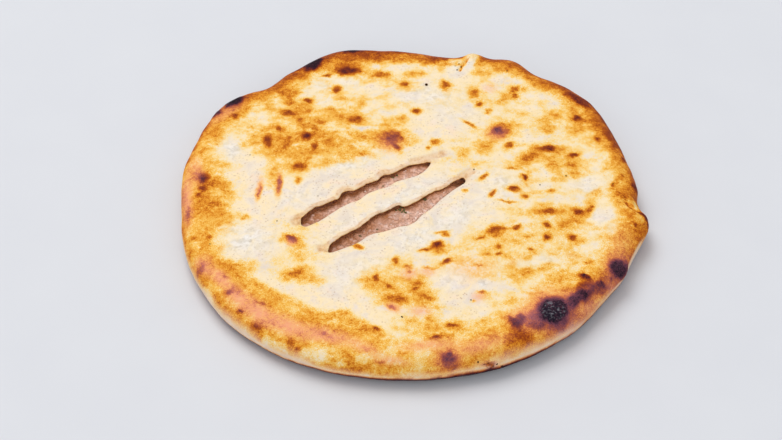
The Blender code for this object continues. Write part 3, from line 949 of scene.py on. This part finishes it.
def browning_and_shade(canvas, raw_rim, raw_side, tear, crease):
    """How browned each point is, and how much of that is the dark edge of the underside, which is partly
    browning and partly a painted contact shadow.
    """
    points, patchy = canvas.points, canvas.patchy
    inward = (canvas.inset + RIM_REACH_PATCHINESS * patchy) / (canvas.at_turns(REACH_IN) * MM)
    toast_and_shade = canvas.at_turns(PERCENT) / 100 * (1 - smoothstep(*RIM_FADE, inward))
    toast_and_shade *= 1 + RIM_PATCHINESS * patchy
    toast_and_shade *= 1 + EDGE_EXTRA * smoothstep(*EDGE_INSETS, canvas.inset)
    toast_and_shade *= (1 - (1 - RAW_BROWNING) * raw_rim) * (1 - raw_side)
    freckles = waves(points / (STREAK, 1, 1), FRECKLES)
    haze = canvas.paint(HAZE_ZONES, ZONE_FADE)
    toast_and_shade = np.maximum(toast_and_shade, haze * np.clip(HAZE_STRENGTH + HAZE_FRECKLING * freckles, 0, 2))
    toast_and_shade = canvas.paint(GOLDEN_ZONES, ZONE_FADE, toast_and_shade)
    toast_and_shade += smoothstep(*MOTTLED_BROWNING, toast_and_shade) * (PATCHINESS * patchy + FRECKLING * freckles)
    toast_and_shade = canvas.paint(BROWN_MARKS + BURNT_MARKS, HALO_FADE, toast_and_shade, HALO_SHARE)
    toast_and_shade = canvas.paint(BROWN_MARKS, MARK_FADE, toast_and_shade, MARK_STRENGTH)
    toast_and_shade = canvas.paint(BURNT_MARKS, CHAR_FADE, toast_and_shade)
    toast_and_shade *= 1 - canvas.paint(PALE_MARKS, CHAR_FADE)
    # Painted shade along the tear and in the fold's crease.
    toast_and_shade = np.maximum(toast_and_shade, TEAR_SHADE * swell(tear, TEAR_WIDTH))
    toast_and_shade = np.maximum(toast_and_shade, FOLD_CREASE_SHADE * swell(crease, FOLD_WIDTH))

    # Partly real browning and partly painted contact shadow: the underside's edge is darkened up to
    # edge_top, higher and darker round the near right.
    burnt = swell(canvas.turns - BURNT_AND_SHADOWED_EDGE_TURN, BURNT_AND_SHADOWED_EDGE_SPREAD)
    edge_top = BASE_EDGE_HEIGHT + BURNT_AND_SHADOWED_EDGE_RISE * burnt
    edge_top += BASE_EDGE_PATCHINESS * patchy + waves(points, BASE_EDGE_WAVES)
    base_edge = smoothstep(*BASE_EDGE_FADE, canvas.height - edge_top)
    toast_and_shade = np.maximum(toast_and_shade, base_edge * (BASE_EDGE_BROWNING_AND_SHADOW + BURNT_AND_SHADOWED_EDGE_EXTRA * burnt))
    below = UNDERSIDE_BROWNING + waves(points, UNDERSIDE_PATCHES)
    below = np.maximum(below, UNDERSIDE_LEAST_BROWNING)
    return np.where(canvas.height < UNDERSIDE_HEIGHT, below, toast_and_shade), base_edge


def end_grooves(canvas, on_top, lip_distance):
    """How far each point lies in one of the grooves past the slits' ends, 0 to 1."""
    groove = 0.0
    for line in END_GROOVES:
        gap, share = distance_to_line(canvas.points[:, :2], at_height(line, LIP_HEIGHT))
        inside = smoothstep(*END_GROOVE_WIDTHS, gap) * smoothstep(1.0, 0.75, share)
        groove = np.maximum(groove, on_top * inside)
    return groove * smoothstep(0, 0.5 * MM, lip_distance)


def relief(canvas, on_top, toast_and_shade, tear, crease):
    """How far each point is raised along its normal, but for the grooves."""
    points = canvas.points
    on_rim = smoothstep(*RIM_INSETS, canvas.inset) * smoothstep(*RIM_HEIGHTS, canvas.height)
    rise = on_top * waves(points, TOP_WAVES) + on_rim * waves(points, RIM_WAVES)
    rise += BLISTER_RISE * smoothstep(*BLISTER_BROWNING, toast_and_shade) * (canvas.height > 1 * MM)
    burnt = canvas.paint(BURNT_MARKS[:SWOLLEN_BURNTS], CHAR_FADE)
    rise += burnt * (CHAR_RISE + CHAR_ROUGHNESS * ripple(points, CHAR_GRAIN, 60))
    for x, y, size, amount in SWELLINGS:
        rise += amount * swell(canvas.far_from(x, y), size)
    raw_edge, _ = distance_to_line(points, canvas.line(RAW_EDGE))
    rise += RAW_EDGE_RISE * swell(raw_edge, RAW_EDGE_WIDTH)
    flap = swell(canvas.far_from(*TEAR_FLAP), TEAR_FLAP_SIZE)
    rise += TEAR_FLAP_RISE * flap * smoothstep(0, 1 * MM, tear)
    crumple = swell(canvas.far_from(*TEAR_CRUMPLE), TEAR_CRUMPLE_SIZE)
    rise += TEAR_CRUMPLE_DEPTH * crumple * ripple(points, TEAR_CRUMPLE_GRAIN, 63)
    return rise - TEAR_DEPTH * swell(tear, TEAR_WIDTH) - FOLD_DEPTH * swell(crease, FOLD_WIDTH)


def read_vectors(items, name):
    values = np.zeros(len(items) * 3)
    items.foreach_get(name, values)
    return values.reshape(-1, 3)


def finish_dough(obj, outer_count):
    """Gives the dough its relief, and the point values that its material reads."""
    mesh = obj.data
    points = read_vectors(mesh.vertices, "co")
    facing_out = read_vectors(mesh.vertex_normals, "vector")[:outer_count]
    outer = points[:outer_count].copy()
    canvas = Canvas(outer, facing_out)
    on_top = smoothstep(*TOP_HEIGHTS, canvas.height)
    underneath = canvas.height < FLAT_HEIGHT
    lip_distance, nearest = nearest_lip(outer[:, :2])
    tear, _ = distance_to_line(outer, canvas.line(TEAR))
    crease, _ = distance_to_line(outer, canvas.line(FOLD_CREASE))

    raw_rim, raw_side = raw_sides(canvas)
    toast_and_shade, base_edge = browning_and_shade(canvas, raw_rim, raw_side, tear, crease)
    groove = end_grooves(canvas, on_top, lip_distance)
    rise = relief(canvas, on_top, toast_and_shade, tear, crease) - END_GROOVE_DEPTH * groove
    moved = outer + (rise * ~underneath)[:, None] * facing_out
    hollows = UNDERSIDE_HOLLOWS * smoothstep(0, 0.8, waves(outer, UNDERSIDE_WAVES))
    moved[:, 2] += hollows * underneath * smoothstep(*UNDERSIDE_INSETS, canvas.inset)
    moved[:, 2] = np.maximum(moved[:, 2], 0)
    points[:outer_count] = moved
    mesh.vertices.foreach_set("co", points.ravel())

    # Torn dough shows at the far lips and in the grooves past the slits' ends.
    past_strip = lip_distance - LIP_STRIP[nearest]
    strip = STRIP_STRENGTH * smoothstep(*STRIP_FADE, past_strip)
    strip += STRIP_LINE_STRENGTH * swell(past_strip, STRIP_LINE_WIDTH)
    flour = canvas.paint(FLOUR_MARKS, ZONE_FADE) * smoothstep(*FLOUR_BROWNING, toast_and_shade)
    raw = np.maximum(raw_rim * (1 - base_edge), raw_side) * smoothstep(*RAW_SIDE_BROWNING, toast_and_shade)
    # Each value on the outer skin, and the one number that the slits' walls and the hollow have. The
    # walls' browning and torn tint are painted shade: they darken the walls into a dark line under the
    # far lips.
    values = {
        "toast_and_shade": (np.clip(toast_and_shade, 0, 1), 0.55),
        # Reddish browning, with a painted highlight on the rim's crest and a painted sheen on the burnt
        # spots.
        "pink_and_sheen": (canvas.paint(PINK_AND_SHEEN_MARKS, ZONE_FADE), 0.0),
        "flour": (flour, 0.0),
        "raw": (raw, 0.0),
        "torn": (np.maximum(groove, LIP_FARNESS[nearest] * strip), 0.3),
    }
    for name, (outside, inside) in values.items():
        store_values(mesh, name, np.append(outside, np.full(len(points) - outer_count, inside)))
    mesh.update()


# Materials.


def tone(red, green, blue):
    """A linear colour from the 0 to 255 values that a screen shows."""
    shown = np.array((red, green, blue)) / 255
    linear = np.where(shown <= 0.04045, shown / 12.92, ((shown + 0.055) / 1.055) ** 2.4)
    return (*linear, 1.0)


class Finish:
    """A material, and the nodes that lead from its patterns to its shader."""

    def __init__(self, name, roughness, specular):
        self.material = bpy.data.materials.new(name)
        self.material.use_nodes = True
        self.nodes = self.material.node_tree.nodes
        self.links = self.material.node_tree.links
        self.shader = self.nodes["Principled BSDF"]
        self.shader.inputs["Roughness"].default_value = roughness
        self.shader.inputs["Specular IOR Level"].default_value = specular
        self.place = self.add("ShaderNodeTexCoord").outputs["Object"]

    def add(self, kind, **settings):
        node = self.nodes.new(kind)
        for key, value in settings.items():
            setattr(node, key, value)
        return node

    def feed(self, socket, value):
        if isinstance(value, bpy.types.NodeSocket):
            self.links.new(value, socket)
        else:
            socket.default_value = value

    def point_value(self, name):
        return self.add("ShaderNodeAttribute", attribute_name=name).outputs["Fac"]

    def pattern(self, kind, output, size, **settings):
        """A pattern over lengths of about size, with its node's settings by the names of its inputs."""
        node = self.add(kind)
        self.links.new(self.place, node.inputs["Vector"])
        for name, value in {"Scale": 1 / size, **settings}.items():
            node.inputs[name].default_value = value
        return node.outputs[output]

    def noise(self, size, detail=2.0, roughness=0.5, warp=0.0):
        settings = {"Detail": detail, "Roughness": roughness, "Distortion": warp}
        return self.pattern("ShaderNodeTexNoise", "Fac", size, **settings)

    def cells(self, size):
        """How far each place is from the middle of its cell, in shares of size."""
        return self.pattern("ShaderNodeTexVoronoi", "Distance", size)

    def math(self, operation, first, second=0.0, clamp=False):
        node = self.add("ShaderNodeMath", operation=operation, use_clamp=clamp)
        self.feed(node.inputs[0], first)
        self.feed(node.inputs[1], second)
        return node.outputs[0]

    def plus(self, first, second, clamp=False):
        return self.math("ADD", first, second, clamp)

    def times(self, first, second):
        return self.math("MULTIPLY", first, second)

    def total(self, *parts):
        """The sum of noises, each less its mean and times its weight."""
        result = 0.0
        for noise_value, weight in parts:
            part = self.times(self.math("SUBTRACT", noise_value, 0.5), weight)
            result = self.plus(part, result)
        return result

    def span(self, value, low, high, out_low=0.0, out_high=1.0):
        """The value's smooth way from low to high, turned into one from out_low to out_high."""
        node = self.add("ShaderNodeMapRange", interpolation_type="SMOOTHSTEP")
        numbers = (value, low, high, out_low, out_high)
        for name, number in zip(("Value", "From Min", "From Max", "To Min", "To Max"), numbers):
            self.feed(node.inputs[name], number)
        return node.outputs["Result"]

    def ramp(self, value, stops):
        node = self.add("ShaderNodeValToRGB")
        self.feed(node.inputs["Fac"], value)
        elements = node.color_ramp.elements
        while len(elements) < len(stops):
            elements.new(1.0)
        for element, (position, colour) in zip(elements, stops):
            element.position = position
            element.color = colour
        return node.outputs["Color"]

    def mix(self, share, first, second):
        node = self.add("ShaderNodeMix", data_type="RGBA")
        self.feed(node.inputs["Factor"], share)
        colours = [socket for socket in node.inputs if socket.type == "RGBA"]
        self.feed(colours[0], first)
        self.feed(colours[1], second)
        return next(socket for socket in node.outputs if socket.type == "RGBA")

    def bump(self, height, depth, below=None):
        node = self.add("ShaderNodeBump")
        node.inputs["Distance"].default_value = depth
        self.feed(node.inputs["Height"], height)
        if below is not None:
            self.links.new(below, node.inputs["Normal"])
        return node.outputs["Normal"]

    def done(self, colour, roughness=None, normal=None):
        for name, value in (("Base Color", colour), ("Roughness", roughness), ("Normal", normal)):
            if value is not None:
                self.links.new(value, self.shader.inputs[name])
        return self.material


# Crust colours from pale to burnt, each with how toasted it is.
CRUST_TONES = (
    (0.00, tone(247, 230, 200)),
    (0.14, tone(248, 218, 154)),
    (0.28, tone(246, 190, 84)),
    (0.42, tone(228, 146, 40)),
    (0.54, tone(194, 104, 24)),
    (0.66, tone(156, 70, 20)),
    (0.78, tone(116, 44, 26)),
    (0.88, tone(66, 28, 38)),
    (1.00, tone(24, 16, 24)),
)
# The same where the crust is reddish, and where the pink marks paint the crest's highlight and the burnt
# spots' sheen.
RED_AND_SHEEN_TONES = (
    (0.35, tone(244, 163, 126)),
    (0.55, tone(206, 120, 102)),
    (0.85, tone(144, 92, 114)),
    (1.00, tone(40, 30, 46)),
)
# The pale dough's colours, and the meat's, each with where its noise gives that colour.
PALE_TONES = (
    (0.30, tone(228, 213, 200)),
    (0.44, tone(243, 226, 202)),
    (0.56, tone(252, 228, 184)),
    (0.70, tone(236, 221, 209)),
)
MEAT_TONES = (
    (0.25, tone(206, 146, 114)),
    (0.42, tone(226, 174, 146)),
    (0.55, tone(238, 190, 168)),
    (0.70, tone(249, 218, 202)),
)


def crust_finish():
    finish = Finish("baked_crust", 0.6, 0.04)
    toast_and_shade = finish.point_value("toast_and_shade")
    grain = finish.noise(0.6 * MM, 1.0)
    fine = finish.noise(2.0 * MM, 2.0, 0.55, 0.3)
    mottle = finish.noise(7.0 * MM, 3.0, 0.5, 0.5)
    flakes = finish.noise(4.0 * MM, 3.0, 0.55, 0.8)

    # Pale dough, with pores in it, and browning over it.
    pale = finish.ramp(finish.noise(13 * MM, 4.0, 0.6, 0.5), PALE_TONES)
    pale = finish.mix(finish.span(fine, 0.5, 0.7, 0.0, 0.4), pale, tone(226, 210, 196))
    pores = finish.span(finish.cells(1.7 * MM), 0.16, 0.36, 0.75, 0.0)
    pores = finish.times(pores, finish.span(mottle, 0.4, 0.56))
    pale = finish.mix(pores, pale, tone(198, 166, 134))
    pale = finish.mix(finish.span(mottle, 0.54, 0.68, 0.0, 0.6), pale, tone(248, 221, 198))
    stir = finish.total((mottle, 0.44), (fine, 0.36), (grain, 0.46))
    amount = finish.span(toast_and_shade, 0.0, 0.24, 0.2, 1.0)
    amount = finish.times(amount, finish.span(toast_and_shade, 0.5, 0.9, 1.0, 0.6))
    level = finish.plus(toast_and_shade, finish.times(stir, amount), clamp=True)
    colour = finish.mix(finish.span(level, 0.0, 0.16), pale, finish.ramp(level, CRUST_TONES))
    # Painted highlight and sheen, with reddish browning: the pink marks tint the rim's crest and the
    # burnt spots.
    pink_and_sheen = finish.times(finish.point_value("pink_and_sheen"), finish.span(fine, 0.3, 0.6, 0.65, 1.0))
    pink_and_sheen = finish.times(pink_and_sheen, finish.span(level, 0.55, 0.95, 0.95, 0.5))
    colour = finish.mix(pink_and_sheen, colour, finish.ramp(level, RED_AND_SHEEN_TONES))
    ash = finish.span(finish.noise(1.3 * MM, 3.0), 0.47, 0.75)
    ash = finish.times(finish.span(toast_and_shade, 0.95, 1.0), ash)
    colour = finish.mix(ash, colour, tone(116, 114, 120))

    # Flour, raw dough on the side and torn dough at the slits.
    powder = finish.times(finish.point_value("flour"), finish.span(mottle, 0.32, 0.62, 0.35, 0.95))
    flour = finish.mix(finish.span(flakes, 0.42, 0.66), tone(245, 240, 233), tone(214, 207, 197))
    colour = finish.mix(powder, colour, flour)
    raw = finish.times(finish.point_value("raw"), finish.span(fine, 0.3, 0.7, 0.75, 0.95))
    raw_colour = finish.mix(finish.span(mottle, 0.35, 0.65), tone(230, 200, 182), tone(246, 220, 202))
    colour = finish.mix(raw, colour, raw_colour)
    torn = finish.times(finish.point_value("torn"), finish.span(mottle, 0.36, 0.6, 0.45, 1.0))
    torn_colour = finish.mix(finish.span(fine, 0.35, 0.65), tone(210, 156, 102), tone(236, 194, 148))
    colour = finish.mix(torn, colour, torn_colour)

    roughness = finish.plus(finish.span(toast_and_shade, 0.2, 0.6, 0.64, 0.5), finish.times(fine, 0.12))
    normal = finish.bump(mottle, 0.6 * MM)
    normal = finish.bump(fine, 0.22 * MM, normal)
    normal = finish.bump(grain, 0.12 * MM, normal)
    normal = finish.bump(finish.times(flakes, powder), 1.0 * MM, normal)
    return finish.done(colour, roughness, normal)


def meat_finish():
    finish = Finish("minced_meat_finish", 0.42, 0.3)
    mottle = finish.noise(4.5 * MM, 3.0, 0.55, 0.5)
    fine = finish.noise(0.9 * MM, 2.0, 0.6)
    creases = finish.math("ABSOLUTE", finish.total((finish.noise(2.8 * MM, 2.0, 0.5, 0.6), 1.0)))
    level = finish.plus(finish.times(mottle, 0.8), finish.times(finish.cells(2.6 * MM), 0.22))
    level = finish.plus(level, finish.total((fine, 0.35)))
    colour = finish.ramp(level, MEAT_TONES)
    # Painted shade: the creases between the meat's lumps are darkened.
    colour = finish.mix(finish.span(creases, 0.0, 0.06, 0.36, 0.0), colour, tone(148, 94, 72))
    # Painted shade: browner and darker beside the far lips and at the slits' ends.
    shade = finish.times(finish.point_value("shade"), finish.span(mottle, 0.3, 0.6, 0.75, 0.95))
    colour = finish.mix(shade, colour, tone(172, 102, 50))
    roughness = finish.span(fine, 0.3, 0.7, 0.34, 0.55)
    normal = finish.bump(mottle, 0.6 * MM)
    normal = finish.bump(finish.span(creases, 0.0, 0.08), 0.3 * MM, normal)
    normal = finish.bump(fine, 0.3 * MM, normal)
    return finish.done(colour, roughness, normal)


def speckled_finish(name, dark, light, size, roughness, specular=0.15):
    """A small thing's finish: two colours stirred together."""
    finish = Finish(name, roughness, specular)
    stir = finish.noise(size, 3.0, 0.6)
    colour = finish.mix(finish.span(stir, 0.35, 0.65), dark, light)
    return finish.done(colour, normal=finish.bump(stir, size / 4))


# The meat, and the loose bits on it.

MEAT_SPACING = 0.65 * MM
MEAT_TURNS = 160
MEAT_ROWS = 8
# Its top's mesh is fine up to the first of these distances from the slits, and coarse from the
# second on.
MEAT_FINE_REACH = 4 * MM
MEAT_COARSE_START = 6 * MM
# How far below the bread's top the meat lies in the slits, at their left and right ends.
MEAT_DEEP = 4.0 * MM
MEAT_SHALLOW = 2.1 * MM
MEAT_DEEP_X = -56 * MM
MEAT_SHALLOW_X = 8 * MM
# Under the skin it rises from that depth to just below the ceiling, over these distances from
# the slits.
MEAT_RISE_REACH = (1.5 * MM, 8 * MM)
# The meat has shrunk away from the slits' right ends: where, how deep and how far.
TIP_DROPS = (
    (430, 163, 1.6 * MM, 3.0 * MM),
    (464, 180, 3.2 * MM, 6.0 * MM),
)
MEAT_LUMPS = ((6.0 * MM, 0.8 * MM), (2.6 * MM, 0.25 * MM), (1.2 * MM, 0.10 * MM))
# Painted shade: the meat is darkened to brown beside the far lips, under their overhang, and at the
# slits' deep ends: where and how far.
SHADE_REACH = 3.2 * MM
SHADED_ENDS = (
    (304, 219, 8.0 * MM),
    (331, 248, 7.0 * MM),
    (350, 236, 7.5 * MM),
    (368, 225, 6.5 * MM),
    (386, 215, 5.5 * MM),
    (316, 212, 5.5 * MM),
    (430, 163, 2.5 * MM),
    (462, 181, 6.5 * MM),
)


def slit_gap(points, x, y):
    """How far points x, y are from a place in a slit, given as a pixel of the photograph."""
    return np.hypot(*(points - at_height([(x, y)], LIP_HEIGHT)).T)


def meat_height(points):
    """The height of the meat's top at points x, y: lumpy in the slits, flat under the skin."""
    distance, _ = nearest_lip(points)
    distance = np.where(in_slits(points), 0, distance)
    rightness = smoothstep(MEAT_DEEP_X, MEAT_SHALLOW_X, points[:, 0])
    depth = MEAT_DEEP + (MEAT_SHALLOW - MEAT_DEEP) * rightness
    for x, y, drop, reach in TIP_DROPS:
        depth += drop * swell(slit_gap(points, x, y), reach)
    lumps = np.zeros(len(points))
    for number, (size, amount) in enumerate(MEAT_LUMPS):
        lumps += amount * (1 - 2 * np.abs(ripple(raised(points), size, 70 + number)))
    top = top_height(points)
    height = top - TOP_SKIN - 2 * FILLING_GAP
    height += (1 - smoothstep(*MEAT_RISE_REACH, distance)) * (top - depth + lumps - height)
    under_skin = np.minimum(height, ceiling_height(points) - FILLING_GAP)
    return np.where(distance > 0, under_skin, height)


def meat_shade(points):
    """How much painted shade darkens the meat at points x, y."""
    far_lips = LIP_POINTS[LIP_FARNESS > 0.5]
    gaps = np.hypot(points[:, None, 0] - far_lips[:, 0], points[:, None, 1] - far_lips[:, 1])
    shade = swell(gaps.min(1), SHADE_REACH)
    for x, y, reach in SHADED_ENDS:
        shade = np.maximum(shade, swell(slit_gap(points, x, y), reach))
    return shade


def make_meat():
    skin = Skin()
    turns = np.linspace(0, 360, MEAT_TURNS, endpoint=False)
    edge = rim_radius(turns) - RIM_WALL - FILLING_GAP - FILLING_EDGE_INSET
    bottom = FLOOR_SKIN + FILLING_GAP
    top = top_height(ring(edge, turns, 0.0)[:, :2]) - TOP_SKIN - FILLING_GAP
    top_ring = skin.add(ring(edge, turns, top))
    sparse = lattice_inside(HOLLOW_SPACING, BASE_RADIUS, RIM_WALL + FILLING_EDGE_INSET)
    distance, _ = nearest_lip(sparse)
    hidden = sparse[(distance > MEAT_COARSE_START) & ~in_slits(sparse)]
    fine = lattice(MEAT_SPACING, np.abs(LIP_POINTS).max() + SLIT_ZONE)
    distance, _ = nearest_lip(fine)
    flat = np.vstack((fine[(distance < MEAT_FINE_REACH) | in_slits(fine)], hidden))
    skin.sheet(top_ring, [], skin.add(raised(flat, meat_height(flat))), True)
    bottom_ring = skin.rows_below(top_ring, turns, MEAT_ROWS, filling_side(edge, top, bottom))
    skin.sheet(bottom_ring, [], skin.add(raised(sparse, bottom)), False)
    obj = skin.build("meat")
    # The strength of the meat's painted shade at each point.
    store_values(obj.data, "shade", meat_shade(skin.points[:, :2]))
    return obj


def ball():
    """The points and triangles of a rounded lump, one unit in radius."""
    bm = bmesh.new()
    bmesh.ops.create_icosphere(bm, subdivisions=3, radius=1.0)
    points = np.array([vertex.co for vertex in bm.verts])
    triangles = np.array([[vertex.index for vertex in face.verts] for face in bm.faces])
    bm.free()
    return points, triangles


def scatter(name, places, directions, sizes, flatness, unevenness, sink, material):
    """One mesh of uneven lumps, each lying on its place and facing its direction.

    Sizes are radii. A lump is flatness times as thick as it is wide, and sinks by that share of
    its thickness.
    """
    points, triangles = ball()
    skin = Skin()
    for place, direction, size in zip(places, directions, sizes):
        stretch = np.array((RANDOM.uniform(0.7, 1.3), RANDOM.uniform(0.7, 1.3), flatness))
        rough = 1 + unevenness * ripple(points + RANDOM.uniform(-50, 50, 3), 0.9, 80)
        lump = points * rough[:, None] * stretch * size
        turned = Vector(direction).to_track_quat("Z", "Y").to_matrix()
        turned = turned @ Matrix.Rotation(RANDOM.uniform(0, 2 * pi), 3, "Z")
        lift = size * flatness * (1 - sink)
        used = skin.add(lump @ np.array(turned).T + place + lift * np.array(direction))
        skin.triangles.append(used[triangles])
    obj = skin.build(name)
    obj.data.materials.append(material)
    return obj


def slit_places(count, margin):
    """Random points x, y in the slits, at least margin away from their lips."""
    low, high = LIP_POINTS.min(0), LIP_POINTS.max(0)
    points = RANDOM.uniform(low, high, (count * 60, 2))
    points = points[in_slits(points)]
    distance, _ = nearest_lip(points)
    return points[distance > margin][:count]


def rest_on_meat(flat):
    """Places on the meat above points x, y, with the way up at each."""
    places = raised(flat, meat_height(flat))
    step = 0.4 * MM
    slope_x = meat_height(flat + (step, 0)) - places[:, 2]
    slope_y = meat_height(flat + (0, step)) - places[:, 2]
    ups = np.column_stack((-slope_x / step, -slope_y / step, np.ones(len(flat))))
    return places, ups / np.linalg.norm(ups, axis=1)[:, None]


def lie_on_meat(count, margin):
    """Random places on the meat in the slits, with the way up at each."""
    return rest_on_meat(slit_places(count, margin))


# Herbs: where they show on the photograph.
HERB_FLECKS = (
    (401, 209), (404, 212), (397, 177), (383, 187), (396, 211), (360, 236), (431, 172),
    (400, 211), (403, 209.5), (402, 213.5), (405.5, 214.5), (393, 179), (377, 230), (425, 201),
)
# Small burnt specks on the top and at the tear: where they show on the photograph, the largest
# first.
SPECKS = (
    (426.5, 85), (474, 169.5), (592, 206.5), (210, 244), (613, 184), (507, 71), (277, 221), (540, 185),
    (402, 317), (566, 176), (471, 300), (318, 196), (250, 155), (455, 66), (459, 64), (457, 70),
    (461, 67), (478, 362), (484, 364.5), (488, 363), (487, 367), (493, 366), (497, 364), (502, 366),
)
LARGEST_SPECK = 1.0 * MM


def lie_on_dough(dough, pixels):
    """Where pixels of the photograph fall on the dough, with the way up at each."""
    places, ups = [], []
    for ray in photo_rays(pixels):
        hit, place, up, _ = dough.ray_cast(Vector(CAMERA_PLACE), Vector(ray).normalized())
        if hit:
            places.append(place)
            ups.append(up)
    return np.array(places), np.array(ups)


def make_bits(dough):
    """The loose bits: on the meat mince, fat and herbs, and on the crust burnt specks."""
    bits = []
    mince = speckled_finish("mince_bits_finish", tone(184, 134, 110), tone(216, 172, 152), 2 * MM, 0.42)
    places, ups = lie_on_meat(24, 1.0 * MM)
    sizes = RANDOM.uniform(0.8 * MM, 1.6 * MM, len(places))
    bits.append(scatter("mince_bits", places, ups, sizes, 0.5, 0.4, 1.5, mince))
    fat = speckled_finish("fat_bits_finish", tone(220, 184, 166), tone(238, 212, 198), 1.5 * MM, 0.35)
    places, ups = lie_on_meat(14, 1.2 * MM)
    sizes = RANDOM.uniform(0.35 * MM, 0.7 * MM, len(places))
    bits.append(scatter("fat_bits", places, ups, sizes, 0.5, 0.3, 1.3, fat))
    herb = speckled_finish("herb_flecks_finish", tone(74, 66, 34), tone(112, 100, 56), 1 * MM, 0.7)
    places, ups = rest_on_meat(at_height(HERB_FLECKS, LIP_HEIGHT - MEAT_SHALLOW))
    sizes = RANDOM.uniform(0.5 * MM, 0.9 * MM, len(places))
    bits.append(scatter("herb_flecks", places, ups, sizes, 0.16, 0.5, 0.0, herb))
    burnt = speckled_finish("burnt_specks_finish", tone(34, 22, 16), tone(84, 52, 30), 0.6 * MM, 0.8, 0.0)
    places, ups = lie_on_dough(dough, SPECKS)
    sizes = RANDOM.uniform(0.2 * MM, 0.45 * MM, len(places))
    sizes[0] = LARGEST_SPECK
    bits.append(scatter("burnt_specks", places, ups, sizes, 0.5, 0.4, 0.4, burnt))
    return bits


# The floor, the light and the camera.

FLOOR_SIZE = 6.0
FLOOR_TONES = (tone(217, 218, 222), tone(221, 222, 225))
SKY_TONE = tone(246, 248, 252)
SKY_STRENGTH = 0.60
# Each light: where it is, how wide it is and its power in watts.
LIGHTS = {
    "window": ((-1.5, 2.0, 4.6), 3.4, 146.0),
    "fill": ((2.7, -3.3, 3.6), 4.8, 22.0),
    "front": ((-1.6, -4.2, 1.6), 3.0, 32.0),
}


def make_stage():
    mesh = bpy.data.meshes.new("floor")
    half = FLOOR_SIZE / 2
    corners = [(-half, -half, 0), (half, -half, 0), (half, half, 0), (-half, half, 0)]
    mesh.from_pydata(corners, [], [(0, 1, 2, 3)])
    finish = Finish("floor_finish", 0.8, 0.2)
    mesh.materials.append(finish.done(finish.mix(finish.noise(40 * MM), *FLOOR_TONES)))
    floor = new_object("floor", mesh)

    world = bpy.data.worlds.new("sky")
    world.use_nodes = True
    sky = world.node_tree.nodes["Background"]
    sky.inputs["Color"].default_value = SKY_TONE
    sky.inputs["Strength"].default_value = SKY_STRENGTH
    bpy.context.scene.world = world
    for name, (place, size, power) in LIGHTS.items():
        light = bpy.data.lights.new(name, "AREA")
        light.size = size
        light.energy = power
        obj = new_object(name, light)
        obj.location = place
        obj.rotation_euler = (-Vector(place)).to_track_quat("-Z", "Y").to_euler()


def make_camera():
    data = bpy.data.cameras.new("camera")
    data.sensor_width = SENSOR_WIDTH
    data.sensor_fit = "HORIZONTAL"
    data.lens = CAMERA_LENS
    camera = new_object("camera", data)
    camera.location = CAMERA_PLACE
    camera.rotation_euler = (pi / 2 - CAMERA_ELEVATION, 0, 0)
    bpy.context.scene.camera = camera
    bpy.context.scene.view_settings.view_transform = "Standard"


RANDOM = np.random.default_rng(SEED)
make_camera()
make_stage()

dough, outer_count = make_dough()
finish_dough(dough, outer_count)
dough.data.materials.append(crust_finish())
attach(dough, "root")
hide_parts("bread_dough")

meat = make_meat()
meat.data.materials.append(meat_finish())
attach(meat, "root")
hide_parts("meat_filling")

bpy.context.view_layer.update()
for bits in make_bits(dough):
    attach(bits, "root")
